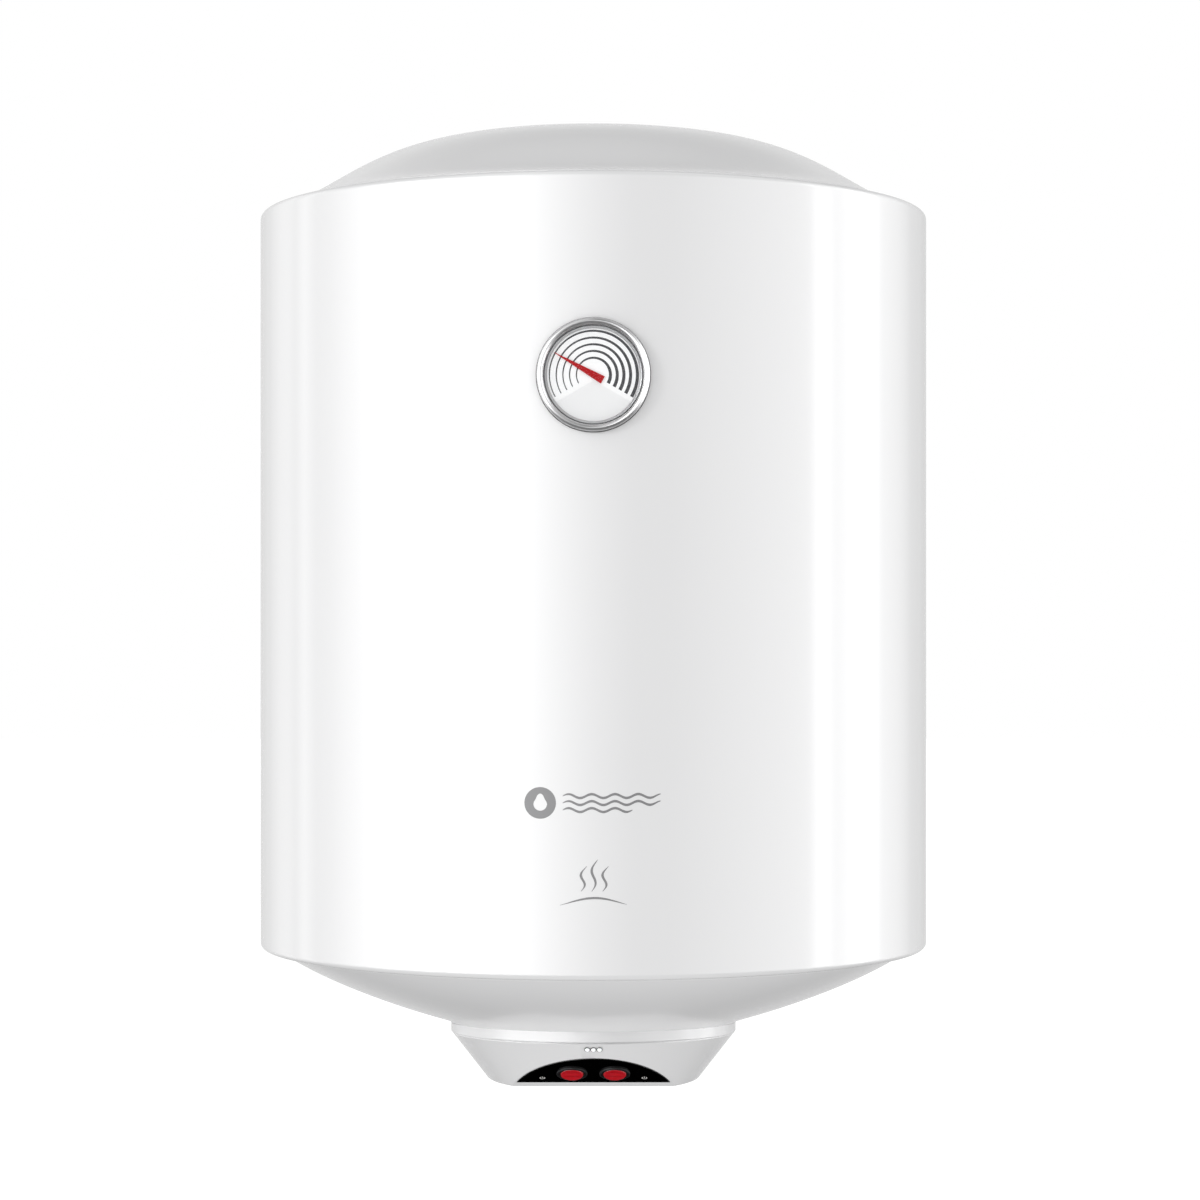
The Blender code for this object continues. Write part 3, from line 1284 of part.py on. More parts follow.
def make_buffer(axis):
    """Rubber foot that holds the heater's lower end off the wall, on a stud in the tank."""
    frame = add_frame("buffer_frame", (0, 0, SHELL_BOTTOM + BUFFER_RISE), (RIGHT_ANGLE, 0, 0))
    recess = WALL_GAP / 4
    front = WALL_GAP - SEAT_GAP
    profile = [
        (0, 0),
        (BUFFER_RADIUS, 0),
        (BUFFER_RADIUS, front / 2),
        (BUFFER_RADIUS * 0.8, front),
        (BUFFER_STUD_RADIUS + SEAT_GAP, front),
        (BUFFER_STUD_RADIUS + SEAT_GAP, recess),
        (0, recess),
    ]
    buffer = turn("wall_buffer", profile, "rubber", SMALL_SIDES, parent=frame)
    seat = SHELL_BOTTOM + BUFFER_RISE
    low, high = seat - 2 * BUFFER_RADIUS, seat + 2 * BUFFER_RADIUS
    skin = pin_tool("buffer_seat_tool", SHELL_RADIUS + SEAT_GAP, low, high, axis, sides=2 * CASING_SIDES)
    combine(buffer, skin)
    tank_face = WALL_GAP + SHELL_SHEET + FOAM_SIDE - SEAT_GAP
    stud = cylinder_profile(BUFFER_STUD_RADIUS, recess + SEAT_GAP, tank_face)
    turn("wall_buffer_stud", stud, "steel", FASTENER_SIDES, parent=frame)


def main():
    clear_scene()
    make_materials()
    axis = add_frame("heater_axis", (0, AXIS_Y, 0))
    housing_axis = add_frame("housing_axis", (0, HOUSING_Y, 0))
    gauge = add_frame("gauge_frame", (0, AXIS_Y - SHELL_RADIUS, GAUGE_Z), (RIGHT_ANGLE, 0, 0))
    facet_place = (0, HOUSING_Y - FACET_FORWARD, HOUSING_FOOT)
    facet = add_frame("facet_frame", facet_place, (math.pi - FACET_ANGLE, 0, 0))
    lamp_height = SHELL_BOTTOM - LAMP_DROP
    lamp_radius = cone_radius(lamp_height, HOUSING_TOP_RADIUS)
    run = HOUSING_TOP_RADIUS - HOUSING_FOOT_RADIUS
    rise = BAND_LOW - HOUSING_FOOT + HOUSING_TILT * HOUSING_TOP_RADIUS
    lean = math.atan2(rise, -run)
    lamps = add_frame("lamp_frame", (0, HOUSING_Y - lamp_radius, lamp_height), (lean, 0, 0))
    legs = leg_tools()
    make_shell(axis, gauge, legs)
    make_top_cover(axis)
    make_bottom_cover(axis)
    make_foam(axis, gauge, legs)
    make_tank(axis)
    make_flange_group(axis)
    make_elements(axis)
    make_pocket_and_anode(axis)
    make_thermostat(axis)
    make_pipes(axis)
    make_housing(axis, housing_axis, facet, lamps)
    make_panel(facet)
    make_lamps(lamps)
    make_housing_screws(axis)
    make_gland(axis)
    make_terminal_block(axis)
    make_gauge(gauge, axis)
    make_bracket()
    make_legs()
    make_buffer(axis)


main()
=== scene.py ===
"""Looks of a wall-hung electric storage water heater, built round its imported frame.

Metres throughout. The wall is the plane Y = 0, the heater's front faces -Y, and +Z is up.
"""

import math

import bmesh
import bpy
from bpy.props import FloatProperty, FloatVectorProperty, IntProperty, PointerProperty
from bpy.types import Operator, Panel, PropertyGroup
from mathutils import Matrix, Vector


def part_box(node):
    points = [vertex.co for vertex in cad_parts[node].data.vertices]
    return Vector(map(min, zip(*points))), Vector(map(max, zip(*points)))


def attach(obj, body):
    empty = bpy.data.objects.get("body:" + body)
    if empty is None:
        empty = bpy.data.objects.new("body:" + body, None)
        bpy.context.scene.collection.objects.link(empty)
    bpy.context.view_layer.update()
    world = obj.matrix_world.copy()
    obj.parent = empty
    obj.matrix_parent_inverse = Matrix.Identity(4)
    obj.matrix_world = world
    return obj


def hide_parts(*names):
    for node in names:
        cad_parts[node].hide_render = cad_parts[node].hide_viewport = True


bl_info = {
    "name": "Storage Water Heater",
    "version": (1, 0, 0),
    "blender": (4, 5, 0),
    "location": "3D View > Sidebar > Heater",
    "description": "Models the visible pieces of a wall-hung storage water heater round its frame",
    "category": "Object",
}

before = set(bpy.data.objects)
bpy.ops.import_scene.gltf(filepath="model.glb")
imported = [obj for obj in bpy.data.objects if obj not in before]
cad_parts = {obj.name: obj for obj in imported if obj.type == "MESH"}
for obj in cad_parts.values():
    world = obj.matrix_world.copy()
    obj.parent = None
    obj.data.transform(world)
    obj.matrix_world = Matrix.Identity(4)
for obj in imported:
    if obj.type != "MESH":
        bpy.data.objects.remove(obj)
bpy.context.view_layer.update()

MM = 0.001
HALF_TURN = math.pi
RIGHT_ANGLE = math.pi / 2
BODY = "heater"


def box_of(node):
    """Lowest and highest corners of a frame node as vectors."""
    low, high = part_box(node)
    return Vector(low), Vector(high)


# Sizes read from the frame
SHELL_LOW, SHELL_HIGH = box_of("outer_shell")
SHELL_RADIUS = (SHELL_HIGH.x - SHELL_LOW.x) / 2
AXIS_Y = SHELL_LOW.y + SHELL_RADIUS
SHELL_TOP = SHELL_HIGH.z
SHELL_BOTTOM = SHELL_LOW.z
HOUSING_LOW, HOUSING_HIGH = box_of("control_housing")
HOUSING_RADIUS = (HOUSING_HIGH.x - HOUSING_LOW.x) / 2
HOUSING_Y = HOUSING_LOW.y + HOUSING_RADIUS
HOUSING_FOOT = HOUSING_LOW.z
GAUGE_LOW, GAUGE_HIGH = box_of("thermometer_bezel")
GAUGE_Z = (GAUGE_LOW.z + GAUGE_HIGH.z) / 2
GAUGE_Y = AXIS_Y - SHELL_RADIUS
COLD_LOW, COLD_HIGH = box_of("cold_inlet_nipple")
HOT_LOW, HOT_HIGH = box_of("hot_outlet_nipple")
GLAND_LOW, GLAND_HIGH = box_of("cord_gland")
PLATE_LOW, PLATE_HIGH = box_of("wall_bracket")
BUFFER_LOW, BUFFER_HIGH = box_of("wall_buffer")

# Fixed sizes of the covers, housing and panel
LIP_RADIUS = 4.0 * MM
LIP_WIDTH = 8.0 * MM
COVER_RADIUS = SHELL_RADIUS - LIP_WIDTH - 0.5 * MM
COVER_WALL = 2.5 * MM
HOUSING_FOOT_RADIUS = 69.9 * MM
HOUSING_TILT = 0.036
BAND_LOW = SHELL_BOTTOM - 55.1 * MM
FACET_FORWARD = 45.2 * MM
FACET_ANGLE = math.radians(30.0)
PANEL_FOOT = 7.0 * MM
PANEL_BORDER = 1.2 * MM
SWITCH_SIDE = 13.8 * MM
SWITCH_UP = 23.0 * MM
ROCKER_TILT = math.radians(5.0)
LAMP_PITCH = 3.9 * MM
LAMP_DROP = 56.0 * MM
NEEDLE_REST = math.radians(150.5)

# Brightness of the studio's cards by direction: degrees from straight ahead, left negative
FLOOR_SIZE = 60.0
DOME_RADIUS = 9.0
LAMP_SIZE = 0.55
LAMP_PLACE = (-1.4, AXIS_Y - 1.7, 0.4)
LAMP_AIM = (0, AXIS_Y, -0.1)
SURROUND_STOPS = ((0.0, 1.62), (0.25, 1.50), (0.5, 0.95), (0.75, 1.33), (1.0, 1.33))
CARD_HEIGHT_STOPS = (
    (0.0, 0.0),
    (0.12, 0.0),
    (0.22, 0.12),
    (0.3, 0.7),
    (0.36, 1.0),
    (0.72, 1.0),
    (0.86, 0.25),
    (1.0, 0.2),
)
REFLECTOR_STOPS = (
    (-180, 0.75),
    (-156, 0.77),
    (-144, 0.87),
    (-132, 1.30),
    (-126, 1.45),
    (-120, 1.25),
    (-114, 2.1),
    (-107, 1.5),
    (-98, 1.9),
    (-82, 3.6),
    (-70, 6.0),
    (-38, 6.2),
    (-25, 5.2),
    (-12, 3.3),
    (0, 1.85),
    (13, 0.95),
    (25, 1.02),
    (44, 1.95),
    (57, 2.55),
    (76, 3.3),
    (80, 5.3),
    (84, 5.2),
    (88, 3.7),
    (95, 4.2),
    (101, 4.8),
    (108, 4.1),
    (114, 2.4),
    (126, 1.64),
    (138, 0.92),
    (156, 0.73),
    (180, 0.75),
)


# ---------------------------------------------------------------- settings


class HeaterCasingSettings(PropertyGroup):
    """Colours and fineness of the casing."""

    enamel: FloatVectorProperty(
        name="Enamel", description="Colour of the painted steel casing", subtype="COLOR", size=3,
        default=(0.83, 0.83, 0.835),
    )
    plastic: FloatVectorProperty(
        name="Plastic", description="Colour of the moulded lid, lower cover and housing",
        subtype="COLOR", size=3, default=(0.80, 0.80, 0.805),
    )
    segments: IntProperty(
        name="Segments", description="Facets round each large turned piece", default=256, min=64,
        max=512,
    )
    print_grey: FloatVectorProperty(
        name="Print", description="Colour of the printed marks on the casing", subtype="COLOR",
        size=3, default=(0.22, 0.22, 0.225),
    )


class HeaterControlSettings(PropertyGroup):
    """Colours of the switch panel and its switches."""

    panel: FloatVectorProperty(
        name="Panel", description="Colour of the glossy switch panel", subtype="COLOR", size=3,
        default=(0.004, 0.004, 0.0045),
    )
    rocker: FloatVectorProperty(
        name="Rockers", description="Colour of the two rocker caps", subtype="COLOR", size=3,
        default=(0.62, 0.012, 0.022),
    )
    rocker_radius: FloatProperty(
        name="Rocker radius", description="Radius of each rocker's cap", subtype="DISTANCE",
        unit="LENGTH", default=7.6 * MM,
    )


class HeaterGaugeSettings(PropertyGroup):
    """Colours and sizes of the dial thermometer."""

    dial: FloatVectorProperty(
        name="Dial", description="Colour of the dial's card", subtype="COLOR", size=3,
        default=(0.95, 0.95, 0.95),
    )
    ink: FloatVectorProperty(
        name="Scale", description="Colour of the dial's printed arcs", subtype="COLOR", size=3,
        default=(0.06, 0.06, 0.065),
    )
    needle: FloatVectorProperty(
        name="Needle", description="Colour of the pointer", subtype="COLOR", size=3,
        default=(0.48, 0.006, 0.010),
    )
    needle_tip: FloatProperty(
        name="Needle reach", description="From the needle's pivot to its tip", subtype="DISTANCE",
        unit="LENGTH", default=27.0 * MM,
    )


class HeaterStudioSettings(PropertyGroup):
    """Camera, floor and light."""

    lens: FloatProperty(
        name="Lens", description="Focal length on a 36 mm sensor", subtype="DISTANCE_CAMERA",
        unit="CAMERA", default=92.2,
    )
    distance: FloatProperty(
        name="Distance", description="From the camera to the heater's axis", subtype="DISTANCE",
        unit="LENGTH", default=2.067,
    )
    eye_height: FloatProperty(
        name="Eye height", description="Height of the level camera in the heater's frame",
        subtype="DISTANCE", unit="LENGTH", default=-0.162,
    )
    floor: FloatProperty(
        name="Floor", description="Height of the floor in the heater's frame", subtype="DISTANCE",
        unit="LENGTH", default=-1.25,
    )
    surround: FloatProperty(
        name="Surround", description="Strength of the even light from all sides", default=0.68,
        min=0.0,
    )
    cards: FloatProperty(
        name="Cards", description="Strength of the soft cards that the gloss surfaces mirror",
        default=1.0, min=0.0,
    )
    key: FloatProperty(
        name="Lamp", description="Power of the shadow lamp at the upper left, in watts",
        default=5.0, min=0.0,
    )


# ---------------------------------------------------------------- bench tools


def deselect_all():
    """Leaves edit mode and selects nothing."""
    if bpy.context.object and bpy.context.object.mode != "OBJECT":
        bpy.ops.object.mode_set(mode="OBJECT")
    bpy.ops.object.select_all(action="DESELECT")


def work_on(obj):
    """Makes an object the only selected and active one."""
    deselect_all()
    obj.select_set(True)
    bpy.context.view_layer.objects.active = obj


def enter_edit():
    """Edits the active object with all of it selected."""
    bpy.ops.object.mode_set(mode="EDIT")
    bpy.ops.mesh.select_all(action="SELECT")


def leave_edit():
    """Turns every face outwards and goes back to object mode."""
    bpy.ops.mesh.select_all(action="SELECT")
    bpy.ops.mesh.normals_make_consistent(inside=False)
    bpy.ops.object.mode_set(mode="OBJECT")


def select_where(obj, test, kind="FACE"):
    """In edit mode, selects just the vertices, edges or faces that pass a test."""
    bpy.ops.mesh.select_mode(type=kind)
    bpy.ops.mesh.select_all(action="DESELECT")
    bm = bmesh.from_edit_mesh(obj.data)
    items = {"FACE": bm.faces, "EDGE": bm.edges, "VERT": bm.verts}[kind]
    for item in items:
        if test(item):
            item.select_set(True)
    bm.select_flush_mode()
    bmesh.update_edit_mesh(obj.data)


def settle(obj, location=(0, 0, 0), rotation=(0, 0, 0)):
    """Places a finished shape and writes its place into the mesh."""
    work_on(obj)
    obj.location = location
    obj.rotation_euler = rotation
    bpy.ops.object.transform_apply(location=True, rotation=True, scale=True)
    return obj


def settle_matrix(obj, matrix):
    """Places a finished shape by a matrix and writes its place into the mesh."""
    work_on(obj)
    obj.matrix_world = matrix
    bpy.ops.object.transform_apply(location=True, rotation=True, scale=True)
    return obj


def lathe(name, profile, segments, closed=True):
    """Draws an outline of (radius, height) points from one vertex and spins it about Z."""
    deselect_all()
    bpy.ops.mesh.primitive_plane_add(size=0.01, location=(0, 0, 0))
    obj = bpy.context.object
    obj.name = name
    obj.data.name = name
    bpy.ops.object.mode_set(mode="EDIT")
    bpy.ops.mesh.select_mode(type="VERT")
    bpy.ops.mesh.select_all(action="SELECT")
    bpy.ops.mesh.merge(type="CENTER")
    start = profile[0]
    bpy.ops.transform.translate(value=(start[0], 0, start[1]))
    for here, there in zip(profile, profile[1:]):
        step = (there[0] - here[0], 0, there[1] - here[1])
        bpy.ops.mesh.extrude_vertices_move(TRANSFORM_OT_translate={"value": step})
    if closed and not (profile[0][0] < 1e-9 and profile[-1][0] < 1e-9):
        select_where(obj, lambda vert: len(vert.link_edges) == 1, "VERT")
        bpy.ops.mesh.edge_face_add()
    bpy.ops.mesh.select_all(action="SELECT")
    bpy.ops.mesh.spin(steps=segments, angle=2 * HALF_TURN, center=(0, 0, 0), axis=(0, 0, 1))
    bpy.ops.mesh.select_all(action="SELECT")
    bpy.ops.mesh.remove_doubles(threshold=2e-6)
    leave_edit()
    return obj


def mapped_sheet(name, across, along, place, thickness=0.0, wrap=False):
    """A subdivided grid whose points are moved to place(u, v), with u and v from 0 to 1."""
    deselect_all()
    bpy.ops.mesh.primitive_grid_add(
        x_subdivisions=across, y_subdivisions=along, size=1.0, location=(0, 0, 0),
    )
    obj = bpy.context.object
    obj.name = name
    obj.data.name = name
    for vert in obj.data.vertices:
        vert.co = place(vert.co.x + 0.5, vert.co.y + 0.5)
    enter_edit()
    if wrap:
        bpy.ops.mesh.remove_doubles(threshold=2e-6)
    leave_edit()
    if thickness:
        solid = obj.modifiers.new("thickness", "SOLIDIFY")
        solid.thickness = thickness
        solid.offset = 0.0
        apply_modifiers(obj)
    return obj


def apply_modifiers(obj):
    """Applies every modifier in order."""
    work_on(obj)
    for modifier in list(obj.modifiers):
        bpy.ops.object.modifier_apply(modifier=modifier.name)


def boolean(obj, tool, operation="DIFFERENCE"):
    """Cuts or joins with a tool shape, which is then removed."""
    modifier = obj.modifiers.new("boolean", "BOOLEAN")
    modifier.operation = operation
    modifier.solver = "EXACT"
    modifier.object = tool
    apply_modifiers(obj)
    bpy.data.objects.remove(tool, do_unlink=True)
    return obj


def round_edges(obj, width, segments=3, angle=30):
    """Rounds the sharp edges with a bevel."""
    modifier = obj.modifiers.new("round", "BEVEL")
    modifier.width = width
    modifier.segments = segments
    modifier.limit_method = "ANGLE"
    modifier.angle_limit = math.radians(angle)
    modifier.use_clamp_overlap = True
    apply_modifiers(obj)
    return obj


def block(name, size, centre):
    """A cuboid at its size and place, as a start for shaping."""
    deselect_all()
    bpy.ops.mesh.primitive_cube_add(size=1.0, location=centre)
    obj = bpy.context.object
    obj.name = name
    obj.data.name = name
    obj.scale = size
    bpy.ops.object.transform_apply(location=True, rotation=True, scale=True)
    return obj


def pin(radius, low, high, segments=48):
    """A round bar about Z, as a tool."""
    return lathe("pin_tool", [(0, low), (radius, low), (radius, high), (0, high)], segments)


def prism(name, outline, low, high):
    """A flat outline in X and Y raised along Z."""
    deselect_all()
    bpy.ops.mesh.primitive_circle_add(
        vertices=len(outline), radius=1.0, fill_type="NGON", location=(0, 0, 0),
    )
    obj = bpy.context.object
    obj.name = name
    obj.data.name = name
    for vert, (x, y) in zip(obj.data.vertices, outline):
        vert.co = (x, y, low)
    enter_edit()
    bpy.ops.mesh.extrude_region_move(TRANSFORM_OT_translate={"value": (0, 0, high - low)})
    leave_edit()
    return obj


def finish(obj, material, slot, replaces=(), body=BODY, smooth=30):
    """Shades a piece, gives it its material and hangs it on its body."""
    work_on(obj)
    bpy.ops.object.shade_smooth_by_angle(angle=math.radians(smooth))
    evened = obj.modifiers.new("evened", "WEIGHTED_NORMAL")
    evened.keep_sharp = True
    evened.weight = 60
    apply_modifiers(obj)
    obj.data.materials.clear()
    obj.data.materials.append(material)
    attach(obj, body)
    if replaces:
        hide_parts(*replaces)
    return obj


def arc(centre, radius, start, end, steps):
    """Points along an arc of an outline, both ends included; angles in degrees."""
    found = []
    for step in range(steps + 1):
        angle = math.radians(start + (end - start) * step / steps)
        found.append((centre[0] + radius * math.cos(angle), centre[1] + radius * math.sin(angle)))
    return found


def mm(*points):
    """Outline points given in millimetres."""
    return [(x * MM, y * MM) for x, y in points]


def spread(start, end, count):
    """Evenly spaced values, both ends included."""
    return [start + (end - start) * step / count for step in range(count + 1)]


def between(table, value):
    """Smooth reading of a table of (place, value) pairs."""
    if value <= table[0][0]:
        return table[0][1]
    for (x0, y0), (x1, y1) in zip(table, table[1:]):
        if value <= x1:
            share = (value - x0) / (x1 - x0)
            share = share * share * (3 - 2 * share)
            return y0 + (y1 - y0) * share
    return table[-1][1]


# ---------------------------------------------------------------- shapes that several pieces share


def top_dome(radius):
    """Height of the lid's outer face at a distance from the axis."""
    share = min(1.0, radius / (SHELL_RADIUS - 6 * MM))
    return SHELL_TOP + 1.4 * MM + 49.6 * MM * (1 - share**4.495) ** 2.109


def bottom_dome(radius):
    """Height of the lower cover's outer face at a distance from the axis."""
    share = min(1.0, radius / (SHELL_RADIUS - 5.4 * MM))
    return SHELL_BOTTOM + 6.0 * MM - 73.0 * MM * (1 - share**1.4148) ** 0.7728


def cone_radius(height, forward):
    """The housing's outer radius at a height, at a distance forward of its axis."""
    full = BAND_LOW - HOUSING_FOOT + HOUSING_TILT * forward
    share = (height - HOUSING_FOOT) / full
    return HOUSING_FOOT_RADIUS + (HOUSING_RADIUS - HOUSING_FOOT_RADIUS) * share


def facet_half_width(up, inset):
    """Half the facet's width at a distance up its slope; negative past its top."""
    forward = FACET_FORWARD + up * math.cos(FACET_ANGLE)
    height = HOUSING_FOOT + up * math.sin(FACET_ANGLE)
    radius = cone_radius(height, forward) - inset
    return math.sqrt(radius**2 - forward**2) if radius > forward else -1.0


def facet_outline(foot, inset, steps=40):
    """Arched outline inside the facet, with a straight foot."""
    low, high = foot, 4 * HOUSING_FOOT_RADIUS
    for _ in range(60):
        middle = (low + high) / 2
        if facet_half_width(middle, inset) > 0:
            low = middle
        else:
            high = middle
    crown = low
    right = []
    for step in range(steps):
        up = foot + (crown - foot) * math.sin(RIGHT_ANGLE * step / steps)
        right.append((facet_half_width(up, inset), up))
    left = [(-x, up) for x, up in reversed(right)]
    return right + [(0.0, crown)] + left


def facet_matrix():
    """The facet's own frame: X across, Y up its slope, Z out of it."""
    turn = Matrix.Rotation(math.pi - FACET_ANGLE, 4, "X")
    return Matrix.Translation((0, HOUSING_Y - FACET_FORWARD, HOUSING_FOOT)) @ turn


def lamp_matrix():
    """The lamps' frame on the front of the housing's cone, Z out of it."""
    height = SHELL_BOTTOM - LAMP_DROP
    radius = cone_radius(height, HOUSING_RADIUS)
    run = HOUSING_RADIUS - HOUSING_FOOT_RADIUS
    rise = BAND_LOW - HOUSING_FOOT + HOUSING_TILT * HOUSING_RADIUS
    turn = Matrix.Rotation(math.atan2(rise, -run), 4, "X")
    return Matrix.Translation((0, HOUSING_Y - radius, height)) @ turn


def gauge_matrix():
    """The thermometer's frame on the casing's foremost line, Z out towards the viewer."""
    return Matrix.Translation((0, GAUGE_Y, GAUGE_Z)) @ Matrix.Rotation(RIGHT_ANGLE, 4, "X")


def on_casing(x, z, proud):
    """A point on the front of the casing, standing proud of it."""
    radius = SHELL_RADIUS + proud
    return Vector((x, AXIS_Y - math.sqrt(radius * radius - x * x), z))


# ---------------------------------------------------------------- materials


def node_group(name, inputs, outputs):
    """An empty shader group with named sockets."""
    group = bpy.data.node_groups.new(name, "ShaderNodeTree")
    for label, kind, value in inputs:
        socket = group.interface.new_socket(name=label, in_out="INPUT", socket_type=kind)
        socket.default_value = value
    for label, kind in outputs:
        group.interface.new_socket(name=label, in_out="OUTPUT", socket_type=kind)
    start = group.nodes.new("NodeGroupInput")
    end = group.nodes.new("NodeGroupOutput")
    start.location = (-700, 0)
    end.location = (500, 0)
    return group, start, end


def join(tree, *links):
    """Joins output sockets to input sockets: (from, output, to, input)."""
    for source, outlet, target, inlet in links:
        tree.links.new(source.outputs[outlet], target.inputs[inlet])


def put(node, values):
    """Sets a node's input sockets."""
    for key, value in values.items():
        node.inputs[key].default_value = value


def add_node(tree, kind, place, **values):
    """A node with its properties set."""
    node = tree.nodes.new(kind)
    node.location = place
    for key, value in values.items():
        setattr(node, key, value)
    return node


def fine_surface_group():
    """Orange peel or moulding grain: Height for a bump from two sizes of noise."""
    sockets = (("Scale", "NodeSocketFloat", 300.0), ("Fine", "NodeSocketFloat", 0.3))
    group, start, end = node_group("fine surface", sockets, (("Height", "NodeSocketFloat"),))
    coords = add_node(group, "ShaderNodeTexCoord", (-700, -200))
    broad = add_node(group, "ShaderNodeTexNoise", (-300, 100))
    put(broad, {"Detail": 2.0})
    fine = add_node(group, "ShaderNodeTexNoise", (-300, -150))
    put(fine, {"Detail": 1.0})
    times = add_node(group, "ShaderNodeMath", (-500, -150), operation="MULTIPLY")
    put(times, {1: 4.0})
    blend = add_node(group, "ShaderNodeMix", (100, 0), data_type="FLOAT")
    join(
        group,
        (coords, "Object", broad, "Vector"),
        (coords, "Object", fine, "Vector"),
        (start, "Scale", broad, "Scale"),
        (start, "Scale", times, 0),
        (times, 0, fine, "Scale"),
        (start, "Fine", blend, "Factor"),
        (broad, "Fac", blend, "A"),
        (fine, "Fac", blend, "B"),
        (blend, "Result", end, "Height"),
    )
    return group


def handling_group():
    """Faint wiping marks and dust: a tinted colour and a varied roughness."""
    sockets = (
        ("Color", "NodeSocketColor", (0.8, 0.8, 0.8, 1)),
        ("Mark Color", "NodeSocketColor", (0.7, 0.69, 0.67, 1)),
        ("Roughness", "NodeSocketFloat", 0.2),
        ("Spread", "NodeSocketFloat", 0.05),
        ("Amount", "NodeSocketFloat", 0.15),
        ("Scale", "NodeSocketFloat", 9.0),
    )
    outputs = (("Color", "NodeSocketColor"), ("Roughness", "NodeSocketFloat"))
    group, start, end = node_group("handling marks", sockets, outputs)
    coords = add_node(group, "ShaderNodeTexCoord", (-900, -200))
    clouds = add_node(group, "ShaderNodeTexNoise", (-500, 50))
    put(clouds, {"Detail": 5.0, "Roughness": 0.62, "Distortion": 0.6})
    curve = add_node(group, "ShaderNodeMapRange", (-300, 50))
    put(curve, {"From Min": 0.42, "From Max": 0.75})
    amount = add_node(group, "ShaderNodeMath", (-100, 50), operation="MULTIPLY")
    tint = add_node(group, "ShaderNodeMix", (150, 120), data_type="RGBA")
    span = add_node(group, "ShaderNodeMath", (-100, -180), operation="MULTIPLY")
    rough = add_node(group, "ShaderNodeMath", (150, -180), operation="ADD")
    join(
        group,
        (coords, "Object", clouds, "Vector"),
        (start, "Scale", clouds, "Scale"),
        (clouds, "Fac", curve, "Value"),
        (curve, "Result", amount, 0),
        (start, "Amount", amount, 1),
        (amount, 0, tint, "Factor"),
        (start, "Color", tint, "A"),
        (start, "Mark Color", tint, "B"),
        (tint, "Result", end, "Color"),
        (clouds, "Fac", span, 0),
        (start, "Spread", span, 1),
        (span, 0, rough, 0),
        (start, "Roughness", rough, 1),
        (rough, 0, end, "Roughness"),
    )
    return group


def drawn_grain_group():
    """Fine parallel scratches of drawn or rolled metal, along one axis."""
    sockets = (("Stretch", "NodeSocketVector", (1.0, 1.0, 0.04)), ("Scale", "NodeSocketFloat", 900.0))
    group, start, end = node_group("drawn grain", sockets, (("Height", "NodeSocketFloat"),))
    coords = add_node(group, "ShaderNodeTexCoord", (-900, 0))
    stretch = add_node(group, "ShaderNodeVectorMath", (-600, 0), operation="MULTIPLY")
    lines = add_node(group, "ShaderNodeTexNoise", (-300, 0))
    put(lines, {"Detail": 3.0})
    join(
        group,
        (coords, "Object", stretch, 0),
        (start, "Stretch", stretch, 1),
        (stretch, 0, lines, "Vector"),
        (start, "Scale", lines, "Scale"),
        (lines, "Fac", end, "Height"),
    )
    return group


